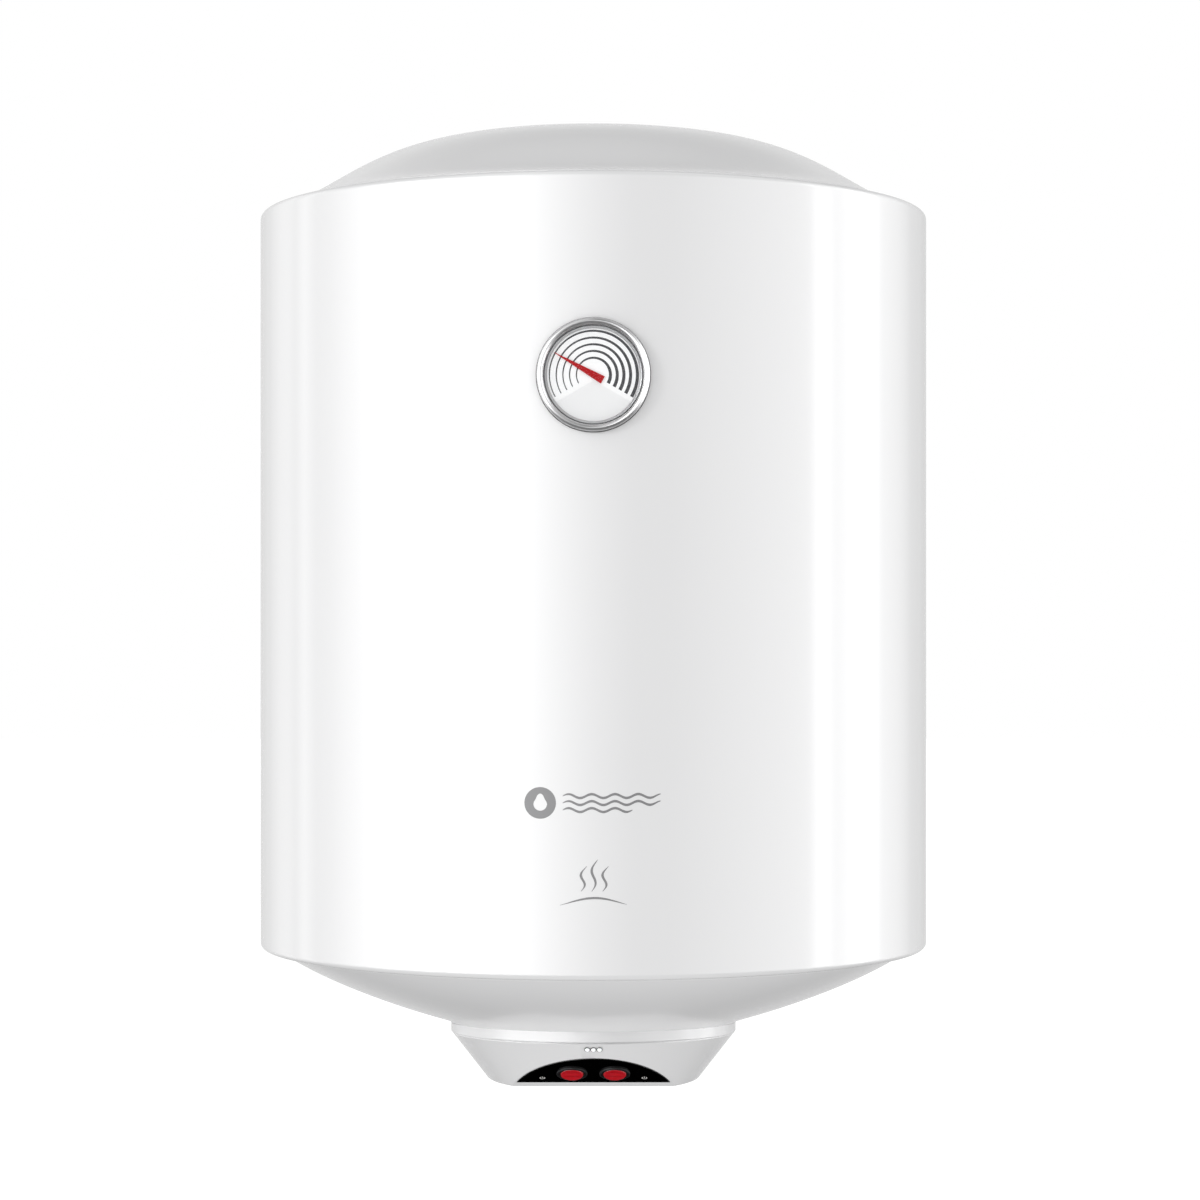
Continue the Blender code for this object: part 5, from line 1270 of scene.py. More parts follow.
class HEATER_OT_switch_panel(Operator):
    """Gloss black panel with its printed marks and two round rocker switches"""

    bl_idname = "heater.switch_panel"
    bl_label = "Switch panel"

    def execute(self, context):
        radius = context.scene.heater_control.rocker_radius
        matrix = facet_matrix()
        panel = prism("switch_panel_glass", facet_outline(PANEL_FOOT, PANEL_BORDER), -2.7 * MM, 0.3 * MM)
        for sign in (-1, 1):
            hole = settle(pin(9.5 * MM, -6 * MM, 4 * MM, 64), (sign * SWITCH_SIDE, SWITCH_UP, 0))
            boolean(panel, hole)
        round_edges(panel, 0.25 * MM, 3, 40)
        settle_matrix(panel, matrix)
        finish(panel, finishes.panel_black(), "black_gloss", ("switch_panel",), smooth=35)
        for label, sign in (("left", -1), ("right", 1)):
            centre = Matrix.Translation((sign * SWITCH_SIDE, SWITCH_UP, 0))
            self.make_body(label, matrix @ centre)
            self.make_rocker(label, radius, matrix @ centre)
            self.make_mark(label, sign, matrix)
        return {"FINISHED"}

    def make_body(self, label, matrix):
        """Round barrel with a thin bezel."""
        seat, face, bore, rim = 0.4 * MM, 1.5 * MM, 8.0 * MM, 9.9 * MM
        floor = -11.3 * MM
        outline = [(0, floor), (9.2 * MM, floor), (9.2 * MM, seat), (rim, seat)]
        outline += arc((rim - 0.5 * MM, face - 0.5 * MM), 0.5 * MM, 0, 90, 5)
        outline += arc((bore + 0.35 * MM, face - 0.35 * MM), 0.35 * MM, 90, 180, 4)
        outline += [(bore, -8.0 * MM), (0, -8.0 * MM)]
        body = settle_matrix(lathe(f"{label}_switch_barrel", outline, 96), matrix)
        finish(body, finishes.switch_black(), "black_gloss", (f"{label}_switch_body",))

    def make_rocker(self, label, radius, matrix):
        """Cap with a hollowed press face on each half and a soft edge."""
        half = 2.6 * MM
        sink = -0.5 * MM
        cheek = []
        for height in spread(-half, half - 0.7 * MM, 8):
            cheek.append((math.sqrt(radius * radius - height * height), height))
        shoulder = cheek[-1][0]
        outline = [
            (0, -half), *cheek, (shoulder - 0.15 * MM, half - 0.35 * MM),
            (shoulder - 0.5 * MM, half - 0.1 * MM),
        ]
        crown = shoulder - 0.9 * MM
        outline += [(crown * share, half) for share in (1.0, 0.85, 0.7, 0.55, 0.4, 0.25, 0.1, 0.0)]
        cap = lathe(f"{label}_rocker_cap", outline, 96)
        for vert in cap.data.vertices:
            if vert.co.z > half - 0.05 * MM:
                hollow = 1 - min(1.0, math.hypot(vert.co.x, vert.co.y) / crown) ** 2
                ridge = min(1.0, abs(vert.co.y) / (2.5 * MM))
                vert.co.z -= 0.45 * MM * hollow * ridge
        turn = Matrix.Translation((0, 0, sink)) @ Matrix.Rotation(-ROCKER_TILT, 4, "X")
        settle_matrix(cap, matrix @ turn)
        finish(cap, finishes.rocker_red(), "red_lamp", (f"{label}_rocker",), f"{label}_rocker", 40)

    def make_mark(self, label, sign, matrix):
        """Small printed on-and-standby mark: an open ring with a bar in its gap."""
        centre = (sign * 33.0 * MM, 15.0 * MM)
        high = 0.3 * MM + 0.03 * MM

        def ring(u, v):
            angle = math.radians(120 + 300 * v)
            radius = 1.55 * MM + (u - 0.5) * 0.42 * MM
            return Vector(
                (centre[0] + radius * math.cos(angle), centre[1] + radius * math.sin(angle), high)
            )

        def bar(u, v):
            return Vector((centre[0] + (u - 0.5) * 0.42 * MM, centre[1] + 0.2 * MM + 1.9 * MM * v, high))

        circle = mapped_sheet(f"{label}_mark_ring", 1, 40, ring, 0.04 * MM)
        line = mapped_sheet(f"{label}_mark_bar", 1, 4, bar, 0.04 * MM)
        for piece in (circle, line):
            settle_matrix(piece, matrix)
            finish(piece, finishes.natural_white(), "dial_white")


class HEATER_OT_lamps(Operator):
    """Three indicator lenses above the panel, each in a thin grey ring"""

    bl_idname = "heater.lamps"
    bl_label = "Indicator lamps"

    def execute(self, context):
        radius, dome = 1.5 * MM, 1.0 * MM
        outline = [(0, -5.5 * MM), (radius, -5.5 * MM), (radius, 0.2 * MM)]
        outline += [
            (radius * math.cos(a), 0.2 * MM + dome * math.sin(a))
            for a in spread(0.2, RIGHT_ANGLE, 7)
        ]
        outline[-1] = (0, 0.2 * MM + dome)
        collar = mm((1.53, -0.6), (1.62, -0.6), (1.62, -0.02), (1.95, -0.02))
        collar += mm((1.9, 0.2), (1.75, 0.28), (1.53, 0.28))
        for label, x in (("left", -LAMP_PITCH), ("middle", 0), ("right", LAMP_PITCH)):
            lens = settle(lathe(f"lamp_lens_{label}", outline, 40), (x, 0, 0))
            settle_matrix(lens, lamp_matrix())
            finish(lens, finishes.lamp_white(), "clear_plastic", (f"indicator_lens_{label}",))
            ring = settle(lathe(f"lamp_collar_{label}", collar, 40), (x, 0, 0))
            settle_matrix(ring, lamp_matrix())
            finish(ring, finishes.grey(), "grey_plastic")
        return {"FINISHED"}


# ---------------------------------------------------------------- thermometer


class HEATER_OT_thermometer(Operator):
    """Dial thermometer: bezel, inner rings, dial, scale, needle and lens"""

    bl_idname = "heater.thermometer"
    bl_label = "Thermometer"

    def execute(self, context):
        matrix = gauge_matrix()
        self.make_bezel(matrix)
        ring = mm((27.9, 1.1), (29.7, 1.1), (29.7, 2.1), (29.3, 2.3))
        ring += mm((28.3, 1.9), (27.9, 1.5))
        inner = settle_matrix(lathe("dial_inner_ring", ring, 160), matrix)
        finish(inner, finishes.satin_ring(), "chrome", ("dial_ring",))
        dial = mm((1.2, 0), (29.4, 0), (29.4, 0.55), (29.25, 0.7))
        dial += [(radius * MM, 0.7 * MM) for radius in (22, 15, 8, 3)] + [(1.2 * MM, 0.7 * MM)]
        card = settle_matrix(lathe("dial_card", dial, 160), matrix)
        finish(card, finishes.dial_card(), "dial_white", ("thermometer_dial",))
        self.make_scale(matrix)
        self.make_needle(context, matrix)
        glass = mm((0, 2.5), (30.8, 2.5), (31.0, 2.7), (31.0, 3.6))
        glass += mm((30.8, 3.8), (20, 3.95), (10, 4.02), (0, 4.04))
        lens = settle_matrix(lathe("gauge_lens", glass, 128), matrix)
        finish(lens, finishes.clear(), "clear_plastic", ("thermometer_lens",))
        return {"FINISHED"}

    def make_bezel(self, matrix):
        """Rounded chrome ring whose back follows the casing, with a dark rubber ring at its foot as painted
        contact shadow.
        """
        outline = mm((31.4, -3.6), (34.2, -3.6), (34.2, 3.6))
        outline += mm((33.9, 4.9), (33.2, 5.8), (32.3, 6.2), (31.6, 6.05))
        outline += mm((31.0, 5.6), (30.5, 5.0), (30.1, 4.5), (30.1, 4.25))
        outline += [(31.4 * MM, 4.25 * MM)]
        bezel = settle_matrix(lathe("gauge_bezel", outline, 192), matrix)
        seat = [(0, GAUGE_Z - 0.05), (SHELL_RADIUS + 0.1 * MM, GAUGE_Z - 0.05)]
        seat += [(SHELL_RADIUS + 0.1 * MM, GAUGE_Z + 0.05), (0, GAUGE_Z + 0.05)]
        boolean(bezel, settle(lathe("seat_tool", seat, 512), (0, AXIS_Y, 0)))
        finish(bezel, finishes.chrome(), "chrome", ("thermometer_bezel",), smooth=35)
        # Painted shade: a thin dark rubber ring, shaped as a gasket, stands in for the contact shadow
        # between bezel and casing.
        contact_shadow_outline = mm((31.6, -3.4), (34.55, -3.4), (34.6, 0.9), (34.3, 1.3))
        contact_shadow_outline += mm((34.0, 1.3), (34.0, 0.2), (31.6, -2.0))
        contact_shadow_gasket = settle_matrix(lathe("gauge_contact_shadow_gasket", contact_shadow_outline, 160), matrix)
        seat = [(0, GAUGE_Z - 0.05), (SHELL_RADIUS + 0.1 * MM, GAUGE_Z - 0.05)]
        seat += [(SHELL_RADIUS + 0.1 * MM, GAUGE_Z + 0.05), (0, GAUGE_Z + 0.05)]
        boolean(contact_shadow_gasket, settle(lathe("seat_tool", seat, 512), (0, AXIS_Y, 0)))
        finish(contact_shadow_gasket, finishes.rubber(), "rubber", smooth=35)

    def make_scale(self, matrix):
        """Five nested arcs that thicken clockwise from cold to hot."""
        for number, middle in enumerate((26.4, 22.3, 18.3, 14.3, 10.2), 1):

            def place(u, v, middle=middle):
                angle = math.radians(210 - 240 * v)
                width = (0.58 + 1.5 * v**1.25) * MM
                radius = middle * MM + (u - 0.5) * width
                return Vector((radius * math.cos(angle), radius * math.sin(angle), 0.76 * MM))

            band = mapped_sheet(f"dial_scale_arc_{number}", 2, 120, place, 0.08 * MM)
            settle_matrix(band, matrix)
            finish(band, finishes.dial_ink(), "black_gloss")

    def make_needle(self, context, matrix):
        """Tapered pointer on its shaft."""
        tip = context.scene.heater_gauge.needle_tip
        tail, half, floor = 6.5 * MM, 2.5 * MM, 1.2 * MM
        outline = [
            (-tail, -half), (0, -half * 0.82), (tip, -0.12 * MM), (tip, 0.12 * MM), (0, half * 0.82),
            (-tail, half),
        ]
        needle = prism("gauge_needle", outline, floor, floor + 0.5 * MM)
        round_edges(needle, 0.1 * MM, 2, 40)
        hub = [
            (0, -10.6 * MM), (0.8 * MM, -10.6 * MM), (0.8 * MM, floor), (1.3 * MM, floor),
            (1.3 * MM, 2.0 * MM),
        ]
        hub += mm((0.9, 2.15), (0, 2.2))
        boolean(needle, lathe("hub_tool", hub, 48), "UNION")
        settle_matrix(needle, matrix @ Matrix.Rotation(NEEDLE_REST, 4, "Z"))
        finish(needle, finishes.needle_red(), "red_plastic", ("thermometer_needle",), "needle")


# ---------------------------------------------------------------- printed marks


class HEATER_OT_marks(Operator):
    """Plain printed marks on the casing: a water drop, waves and a ripple line"""

    bl_idname = "heater.marks"
    bl_label = "Printed marks"

    def execute(self, context):
        self.make_badge()
        self.make_waves()
        self.make_ripple()
        return {"FINISHED"}

    def ink(self, name, across, along, place):
        piece = mapped_sheet(name, across, along, place, wrap=True)
        solid = piece.modifiers.new("thickness", "SOLIDIFY")
        solid.thickness = 0.06 * MM
        solid.offset = 0.0
        apply_modifiers(piece)
        finish(piece, finishes.print_grey(), "grey_plastic")

    def make_badge(self):
        """Grey disc with a clear drop in it."""
        centre_x, centre_z, radius = -32.0 * MM, SHELL_BOTTOM + 107 * MM, 9.5 * MM

        def drop(angle):
            """Distance from the disc's centre to the drop's edge."""
            up = math.cos(angle)
            return (4.1 + 2.6 * max(0.0, up) ** 7 - 0.5 * max(0.0, up)) * MM

        def place(u, v):
            angle = 2 * HALF_TURN * v
            inner = drop(angle if angle < HALF_TURN else 2 * HALF_TURN - angle)
            reach = inner + (radius - inner) * u
            x = centre_x + reach * math.sin(angle)
            z = centre_z - 0.6 * MM * (1 - u) + reach * math.cos(angle)
            return on_casing(x, z, 0.04 * MM)

        self.ink("print_drop_badge", 6, 120, place)

    def make_waves(self):
        """Three stacked waves to the right of the drop."""
        left, centre_z = -18.5 * MM, SHELL_BOTTOM + 107 * MM
        for row, (width, offset) in enumerate(((59.0, 4.2), (59.0, 0.0), (42.0, -4.2))):

            def place(u, v, width=width, offset=offset):
                x = left + width * MM * v
                taper = min(1.0, 9 * v, 9 * (1 - v)) ** 0.5
                middle = centre_z + (offset + 1.15 * math.sin(2 * HALF_TURN * (v * width / 14.0))) * MM
                return on_casing(x, middle + (u - 0.5) * 1.5 * MM * (0.15 + 0.85 * taper), 0.04 * MM)

            self.ink(f"print_wave_{row + 1}", 3, 160, place)

    def make_ripple(self):
        """Three rising vapour lines over one long flourish."""
        base = SHELL_BOTTOM + 42 * MM
        for number, x0 in enumerate((-7.5, -1.0, 5.5), 1):

            def place(u, v, x0=x0, number=number):
                height = (15.0 + 4.0 * (number == 2)) * MM
                taper = math.sin(HALF_TURN * (0.06 + 0.88 * v))
                x = (x0 + 1.7 * math.sin(2 * HALF_TURN * 1.1 * v) + (u - 0.5) * 1.6 * taper + 2.5 * v) * MM
                return on_casing(x, base + 12 * MM + height * v, 0.04 * MM)

            self.ink(f"print_vapour_{number}", 2, 60, place)

        def flourish(u, v):
            taper = math.sin(HALF_TURN * (0.04 + 0.92 * v))
            x = (-20.0 + 40.0 * v) * MM
            lift = (3.0 * math.sin(HALF_TURN * (v * 1.25 - 0.15)) + (u - 0.5) * 1.3 * taper) * MM
            return on_casing(x, base + 5 * MM + lift, 0.04 * MM)

        self.ink("print_flourish", 2, 90, flourish)


# ---------------------------------------------------------------- pipes and cable entry


class HEATER_OT_pipes(Operator):
    """Threaded nipples with their coloured rings"""

    bl_idname = "heater.pipes"
    bl_label = "Pipes"

    def execute(self, context):
        sides = (
            ("cold_inlet", COLD_LOW, COLD_HIGH, finishes.blue(), "blue_plastic"),
            ("hot_outlet", HOT_LOW, HOT_HIGH, finishes.red(), "red_plastic"),
        )
        for label, low, high, ring_finish, ring_slot in sides:
            centre = ((low.x + high.x) / 2, (low.y + high.y) / 2, 0)
            nipple = settle(lathe(f"{label}_threaded_pipe", self.thread_outline(low.z, high.z), 96), centre)
            finish(nipple, finishes.zinc(), "steel", (f"{label}_nipple",), smooth=40)
            ring_low, ring_high = box_of(f"{label}_ring")
            outer = (ring_high.x - ring_low.x) / 2
            bore = 10.8 * MM
            outline = [
                (bore, ring_low.z + 0.4 * MM), (bore + 0.4 * MM, ring_low.z),
                (outer - 1.2 * MM, ring_low.z),
            ]
            outline += arc((outer - 1.2 * MM, ring_low.z + 1.2 * MM), 1.2 * MM, -90, 0, 6)
            outline += [
                (outer, ring_high.z - 0.4 * MM), (outer - 0.4 * MM, ring_high.z), (bore, ring_high.z),
            ]
            ring = settle(lathe(f"{label}_collar", outline, 96), centre)
            finish(ring, ring_finish, ring_slot, (f"{label}_ring",), smooth=40)
        return {"FINISHED"}

    def thread_outline(self, low, high):
        """Outline of a pipe with eight rounded threads on its lower end."""
        bore, crest, root, pitch = 7.6 * MM, 10.4 * MM, 9.3 * MM, 1.8 * MM
        outline = [(bore, high), (bore, low + 0.6 * MM), (bore + 0.5 * MM, low), (root - 0.3 * MM, low)]
        outline.append((root, low + 0.3 * MM))
        for number in range(8):
            foot = low + pitch * (number + 0.35)
            outline += [
                (root, foot), (crest - 0.15 * MM, foot + pitch * 0.36), (crest, foot + pitch * 0.43),
            ]
            outline += [(crest, foot + pitch * 0.5), (crest - 0.15 * MM, foot + pitch * 0.57)]
        last = low + pitch * 8.35
        return [*outline, (root, last), (root, last + 1.2 * MM), (crest, last + 1.9 * MM), (crest, high)]


class HEATER_OT_gland(Operator):
    """Cable gland with its six-sided body and fluted dome nut"""

    bl_idname = "heater.gland"
    bl_label = "Cable gland"

    def execute(self, context):
        centre = ((GLAND_LOW.x + GLAND_HIGH.x) / 2, (GLAND_LOW.y + GLAND_HIGH.y) / 2, 0)
        nose = GLAND_LOW.z
        seat = nose + 20 * MM
        bore = 4.3 * MM
        outline = [(bore, GLAND_HIGH.z), (bore, nose + 0.8 * MM), (bore + 0.8 * MM, nose), (5.6 * MM, nose)]
        outline += [(6.8 * MM, nose + 1.2 * MM), (8.3 * MM, nose + 6 * MM), (8.9 * MM, nose + 9 * MM)]
        outline += [(8.9 * MM, nose + 11 * MM), (7.4 * MM, nose + 11.2 * MM), (7.4 * MM, nose + 12 * MM)]
        outline += [(7.4 * MM, seat), (7.4 * MM, GLAND_HIGH.z)]
        barrel = lathe("gland_body", outline, 72)
        hexagon = [
            (10.4 * math.cos(a) * MM, 10.4 * math.sin(a) * MM)
            for a in spread(0, 2 * HALF_TURN, 6)[:-1]
        ]
        nut = prism("hex_tool", hexagon, nose + 12 * MM, seat - 0.3 * MM)
        round_edges(nut, 0.5 * MM, 2, 40)
        boolean(nut, pin(6.5 * MM, nose, GLAND_HIGH.z, 48))
        boolean(barrel, nut, "UNION")
        settle(barrel, centre)
        finish(barrel, finishes.grey(), "grey_plastic", ("cord_gland",), smooth=35)
        for number in range(12):
            angle = 2 * HALF_TURN * number / 12
            rib = block(
                f"gland_rib_{number + 1}", (1.0 * MM, 1.1 * MM, 5.0 * MM), (8.4 * MM, 0, nose + 8.2 * MM),
            )
            round_edges(rib, 0.3 * MM, 2, 40)
            settle(rib, (0, 0, 0), (0, 0, angle))
            settle(rib, centre)
            finish(rib, finishes.grey(), "grey_plastic")
        return {"FINISHED"}


# ---------------------------------------------------------------- wall fixings


class HEATER_OT_wall_fixings(Operator):
    """Slotted wall plate and the rubber wall buffer"""

    bl_idname = "heater.wall_fixings"
    bl_label = "Wall fixings"

    def execute(self, context):
        size = PLATE_HIGH - PLATE_LOW
        centre = (PLATE_HIGH + PLATE_LOW) / 2
        plate = block("wall_plate", size, centre)
        work_on(plate)
        bpy.ops.object.mode_set(mode="EDIT")
        select_where(plate, lambda edge: abs(edge.verts[0].co.y - edge.verts[1].co.y) > size.y / 2, "EDGE")
        bpy.ops.mesh.bevel(offset=6 * MM, segments=8, affect="EDGES")
        bpy.ops.object.mode_set(mode="OBJECT")
        for sign in (-1, 1):
            outline = arc((0, 6 * MM), 6 * MM, 0, 180, 16) + arc((0, -6 * MM), 6 * MM, 180, 360, 16)
            slot = prism("slot_tool", outline, -6 * MM, 6 * MM)
            boolean(plate, settle(slot, (sign * 98 * MM, centre.y, centre.z), (RIGHT_ANGLE, 0, 0)))
        round_edges(plate, 0.35 * MM, 2, 40)
        finish(plate, finishes.enamel(), "white_enamel", ("wall_bracket",), smooth=40)
        self.make_buffer()
        return {"FINISHED"}

    def make_buffer(self):
        """Ribbed rubber foot between the casing and the wall."""
        radius = (BUFFER_HIGH.x - BUFFER_LOW.x) / 2
        deep = BUFFER_HIGH.y - BUFFER_LOW.y
        outline = [(0, 0.6 * MM), (radius * 0.5, 0.6 * MM), (radius * 0.55, 0), (radius - MM, 0)]
        outline += arc((radius - MM, MM), MM, -90, 0, 5)
        for number in range(3):
            low = deep * (0.22 + 0.2 * number)
            shrink = radius * (1 - 0.05 * number)
            outline += [
                (shrink, low), (shrink - 0.9 * MM, low + 0.4 * MM), (shrink - 0.9 * MM, low + 1.2 * MM),
            ]
            outline += [(shrink - 0.4 * MM, low + 1.6 * MM)]
        outline += [(radius * 0.82, deep * 0.85), (radius * 0.8, deep * 0.985), (3.4 * MM, deep * 0.985)]
        outline += mm((3.4, 4.0), (0, 4.0))
        centre = (BUFFER_LOW + BUFFER_HIGH) / 2
        buffer = settle(
            lathe("rubber_buffer", outline, 72), (centre.x, BUFFER_HIGH.y, centre.z), (RIGHT_ANGLE, 0, 0),
        )
        finish(buffer, finishes.rubber(), "rubber", ("wall_buffer",), smooth=40)


class HEATER_OT_inner_parts(Operator):
    """Materials for the frame's own nodes that stay as they are"""

    bl_idname = "heater.inner_parts"
    bl_label = "Inner parts"

    def execute(self, context):
        makers = {
            "bracket_leg_left": finishes.enamel,
            "bracket_leg_right": finishes.enamel,
            "foam_insulation": finishes.foam,
            "inner_tank": finishes.tank_steel,
            "flange_gasket": finishes.rubber,
            "heating_element_long": finishes.heating_steel,
            "heating_element_short": finishes.heating_steel,
            "thermostat_probe": finishes.brass,
            "thermometer_stem": finishes.brass,
            "bimetal_coil": finishes.brass,
            "anode_nut": finishes.brass,
            "anode_rod": finishes.light_alloy,
            "thermostat_body": finishes.grey,
            "thermometer_case": finishes.grey,
            "cord_gland_nut": finishes.grey,
            "terminal_block": finishes.grey,
            "thermostat_spindle": finishes.natural_white,
            "inlet_diffuser": finishes.natural_white,
            "cutout_reset_button": finishes.red,
        }
        for name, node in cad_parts.items():
            material = makers.get(name, finishes.zinc)()
            node.data.materials.clear()
            node.data.materials.append(material)
        return {"FINISHED"}


# ---------------------------------------------------------------- studio


class HEATER_OT_studio(Operator):
    """Camera, pale floor and soft studio light"""

    bl_idname = "heater.studio"
    bl_label = "Studio"

    def execute(self, context):
        settings = context.scene.heater_studio
        context.scene.view_settings.view_transform = "Standard"
        context.scene.view_settings.look = "None"
        self.make_camera(context, settings)
        self.make_floor(settings)
        self.make_surround(context, settings)
        self.make_reflectors(settings)
        self.make_lights(settings)
        return {"FINISHED"}

    def make_camera(self, context, settings):
        """Level camera in front of the heater."""
        camera = bpy.data.cameras.new("studio_camera")
        camera.sensor_width = 36.0
        camera.lens = settings.lens
        camera.shift_x = 0.0055
        camera.shift_y = 0.0297
        obj = bpy.data.objects.new("studio_camera", camera)
        obj.location = (0, AXIS_Y - settings.distance, settings.eye_height)
        obj.rotation_euler = (RIGHT_ANGLE, 0, 0)
        context.scene.collection.objects.link(obj)
        context.scene.camera = obj

    def make_floor(self, settings):
        """Broad pale floor below the hanging heater."""
        deselect_all()
        bpy.ops.mesh.primitive_plane_add(size=FLOOR_SIZE, location=(0, 0, settings.floor))
        floor = bpy.context.object
        floor.name = "studio_floor"
        bpy.ops.object.transform_apply(location=True, rotation=True, scale=True)
        floor.data.materials.append(finishes.floor())
        floor.visible_diffuse = False
        floor.visible_glossy = False

    def make_surround(self, context, settings):
        """Even light from all sides, stronger from below; white paper ahead and pale walls round."""
        world = bpy.data.worlds.new("studio_surround")
        context.scene.world = world
        world.use_nodes = True
        world.cycles_visibility.glossy = False
        tree = world.node_tree
        tree.nodes.clear()
        coords = add_node(tree, "ShaderNodeTexCoord", (-1000, 0))
        split = add_node(tree, "ShaderNodeSeparateXYZ", (-800, 0))
        height = add_node(tree, "ShaderNodeMapRange", (-600, 0))
        put(height, {"From Min": -1.0})
        ramp = self.level_ramp(tree, SURROUND_STOPS, (-400, 0))
        total = add_node(tree, "ShaderNodeMath", (-100, 0), operation="MULTIPLY")
        put(total, {1: settings.surround})
        light = add_node(tree, "ShaderNodeBackground", (100, 0))
        put(light, {"Color": (1.0, 1.0, 1.0, 1.0)})
        paper = add_node(tree, "ShaderNodeBackground", (100, -200))
        put(paper, {"Color": (1.0, 1.0, 1.0, 1.0)})
        walls = add_node(tree, "ShaderNodeMapRange", (-100, -250), interpolation_type="SMOOTHSTEP")
        put(walls, {"From Min": 0.4, "From Max": 0.95, "To Min": 0.80})
        join(tree, (split, "Y", walls, "Value"), (walls, "Result", paper, "Strength"))
        path = add_node(tree, "ShaderNodeLightPath", (100, 350))
        mix = add_node(tree, "ShaderNodeMixShader", (300, 0))
        end = add_node(tree, "ShaderNodeOutputWorld", (500, 0))
        join(
            tree,
            (coords, "Generated", split, 0),
            (split, "Z", height, "Value"),
            (height, "Result", ramp, "Fac"),
        )
        behind = add_node(tree, "ShaderNodeMapRange", (-400, 250))
        put(behind, {"From Min": -0.2, "To Min": 1.0, "To Max": 0.8})
        whole = add_node(tree, "ShaderNodeMath", (0, 150), operation="MULTIPLY")
        join(
            tree,
            (ramp, "Color", total, 0),
            (split, "Y", behind, "Value"),
            (total, 0, whole, 0),
            (behind, "Result", whole, 1),
            (whole, 0, light, "Strength"),
            (path, "Is Camera Ray", mix, "Fac"),
            (light, 0, mix, 1),
            (paper, 0, mix, 2),
            (mix, 0, end, "Surface"),
        )

    def level_ramp(self, tree, stops, place):
        """A ramp of grey levels at the given places."""
        ramp = add_node(tree, "ShaderNodeValToRGB", place)
        elements = ramp.color_ramp.elements
        elements[0].position = 0.0
        elements[1].position = 1.0
        for position, level in stops[1:-1]:
            elements.new(position)
        for element, (position, level) in zip(elements, stops):
            element.position = position
            element.color = (level, level, level, 1.0)
        return ramp

    def make_reflectors(self, settings):
        """Great shell of soft cards round the heater, seen only in its glossy reflections."""
        turns = spread(-RIGHT_ANGLE, RIGHT_ANGLE, 24)
        rings = [(DOME_RADIUS * math.cos(a), DOME_RADIUS * math.sin(a)) for a in turns]
        rings[0] = (0, -DOME_RADIUS)
        rings[-1] = (0, DOME_RADIUS)
        shell = settle(lathe("studio_reflectors", rings, 48), (0, AXIS_Y, 0))
        material = bpy.data.materials.new("reflector cards")
        material.use_nodes = True
        tree = material.node_tree
        tree.nodes.clear()
        coords = add_node(tree, "ShaderNodeTexCoord", (-1400, 0))
        centred = add_node(tree, "ShaderNodeVectorMath", (-1200, 0), operation="SUBTRACT")
        put(centred, {1: (0, AXIS_Y, 0)})
        split = add_node(tree, "ShaderNodeSeparateXYZ", (-1000, 0))
        back = add_node(tree, "ShaderNodeMath", (-800, -100), operation="MULTIPLY")
        put(back, {1: -1.0})
        azimuth = add_node(tree, "ShaderNodeMath", (-600, 0), operation="ARCTAN2")
        share = add_node(tree, "ShaderNodeMapRange", (-400, 0))
        put(share, {"From Min": -HALF_TURN, "From Max": HALF_TURN})
        top = max(level for _, level in REFLECTOR_STOPS)
        stops = [((degrees + 180) / 360, level / top) for degrees, level in REFLECTOR_STOPS]
        ramp = self.level_ramp(tree, stops, (-200, 0))
        rise = add_node(tree, "ShaderNodeMapRange", (-400, -300))
        put(rise, {"From Min": -DOME_RADIUS, "From Max": DOME_RADIUS})
        column = self.level_ramp(tree, CARD_HEIGHT_STOPS, (-200, -300))
        both = add_node(tree, "ShaderNodeMath", (100, 0), operation="MULTIPLY")
        scale = add_node(tree, "ShaderNodeMath", (300, 0), operation="MULTIPLY")
        put(scale, {1: top * settings.cards})
        glow = add_node(tree, "ShaderNodeEmission", (500, 0))
        end = add_node(tree, "ShaderNodeOutputMaterial", (700, 0))
        join(
            tree,
            (coords, "Object", centred, 0),
            (centred, 0, split, 0),
            (split, "Y", back, 0),
            (split, "X", azimuth, 0),
            (back, 0, azimuth, 1),
            (azimuth, 0, share, "Value"),
            (share, "Result", ramp, "Fac"),
            (split, "Z", rise, "Value"),
            (rise, "Result", column, "Fac"),
            (ramp, "Color", both, 0),
            (column, "Color", both, 1),
            (both, 0, scale, 0),
            (scale, 0, glow, "Strength"),
            (glow, 0, end, "Surface"),
        )
        shell.data.materials.append(material)
        shell.visible_camera = False
        shell.visible_diffuse = False
        shell.visible_shadow = False
        shell.visible_transmission = False

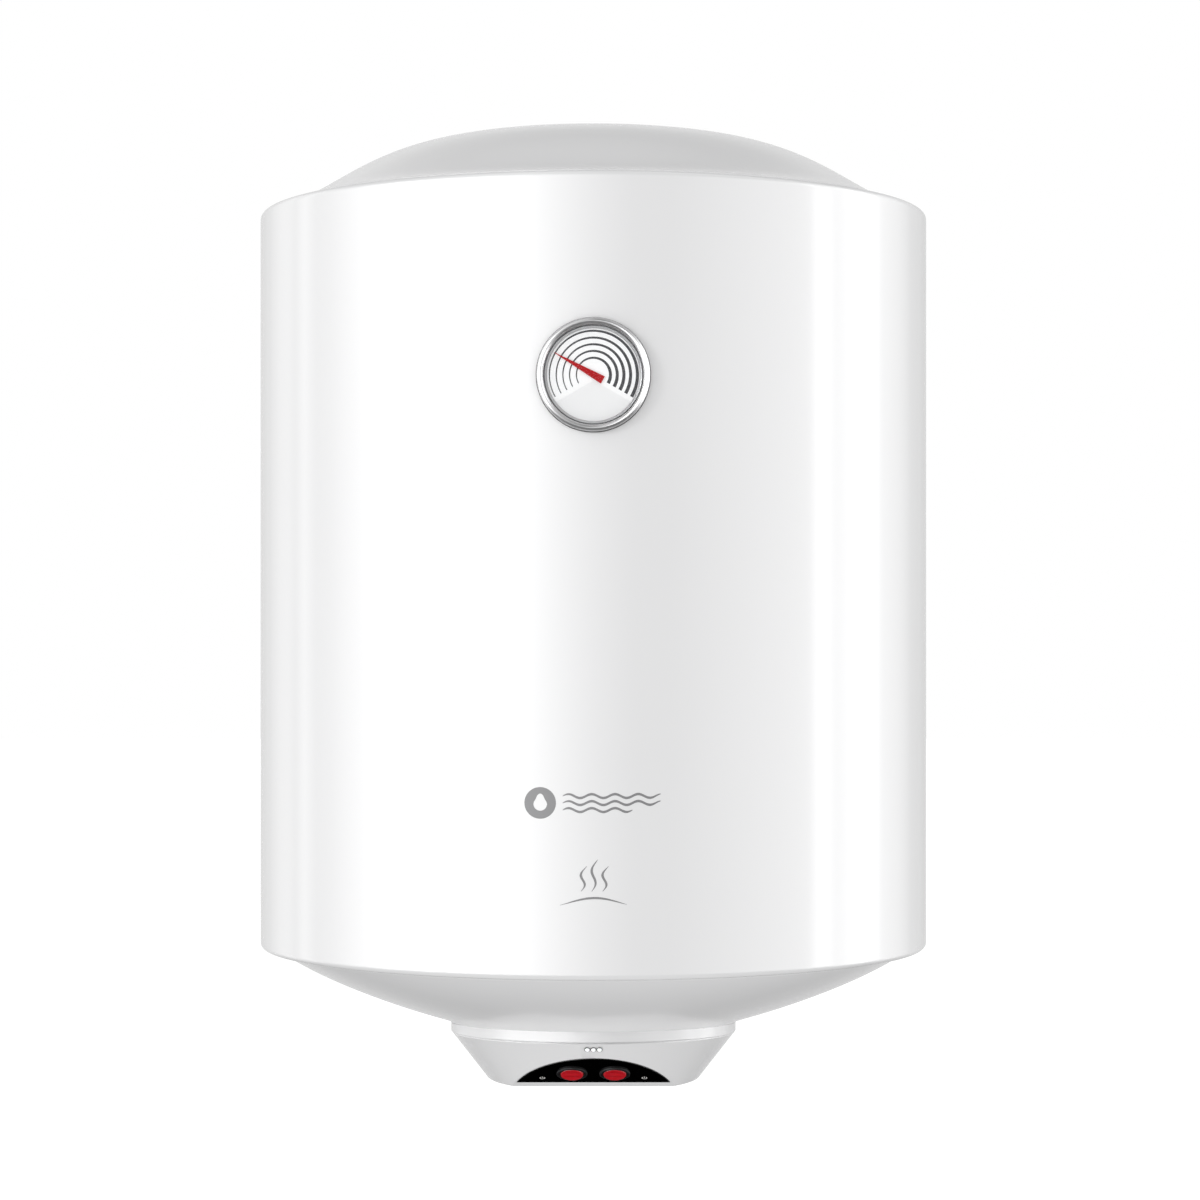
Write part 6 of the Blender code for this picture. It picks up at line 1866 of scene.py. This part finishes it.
    def make_lights(self, settings):
        """One weak disc lamp at the upper left for soft shadows."""
        data = bpy.data.lights.new("left_lamp", "AREA")
        data.shape = "DISK"
        data.size = LAMP_SIZE
        data.energy = settings.key
        lamp = bpy.data.objects.new("left_lamp", data)
        lamp.location = LAMP_PLACE
        aim = Vector(LAMP_AIM) - lamp.location
        lamp.rotation_euler = aim.to_track_quat("-Z", "Y").to_euler()
        lamp.visible_glossy = False
        bpy.context.scene.collection.objects.link(lamp)


# ---------------------------------------------------------------- sidebar and registration


STEPS = (
    HEATER_OT_casing,
    HEATER_OT_lid,
    HEATER_OT_lower_cover,
    HEATER_OT_housing,
    HEATER_OT_switch_panel,
    HEATER_OT_lamps,
    HEATER_OT_thermometer,
    HEATER_OT_marks,
    HEATER_OT_pipes,
    HEATER_OT_gland,
    HEATER_OT_wall_fixings,
    HEATER_OT_inner_parts,
    HEATER_OT_studio,
)


class HEATER_PT_sidebar(Panel):
    """Lists the heater's settings and modelling steps"""

    bl_idname = "HEATER_PT_sidebar"
    bl_label = "Water Heater"
    bl_space_type = "VIEW_3D"
    bl_region_type = "UI"
    bl_category = "Heater"

    def draw(self, context):
        scene = context.scene
        groups = (scene.heater_casing, scene.heater_control, scene.heater_gauge, scene.heater_studio)
        for settings in groups:
            box = self.layout.box()
            for name in settings.bl_rna.properties.keys():
                if name not in {"rna_type", "name"}:
                    box.prop(settings, name)
        for step in STEPS:
            self.layout.operator(step.bl_idname)


GROUPS = (
    ("heater_casing", HeaterCasingSettings),
    ("heater_control", HeaterControlSettings),
    ("heater_gauge", HeaterGaugeSettings),
    ("heater_studio", HeaterStudioSettings),
)


def register():
    for attribute, group in GROUPS:
        bpy.utils.register_class(group)
        setattr(bpy.types.Scene, attribute, PointerProperty(type=group))
    for step in STEPS:
        bpy.utils.register_class(step)
    bpy.utils.register_class(HEATER_PT_sidebar)


def unregister():
    bpy.utils.unregister_class(HEATER_PT_sidebar)
    for step in reversed(STEPS):
        bpy.utils.unregister_class(step)
    for attribute, group in reversed(GROUPS):
        delattr(bpy.types.Scene, attribute)
        bpy.utils.unregister_class(group)


def main():
    register()
    for step in STEPS:
        category, name = step.bl_idname.split(".")
        getattr(getattr(bpy.ops, category), name)()


if __name__ == "__main__":
    main()
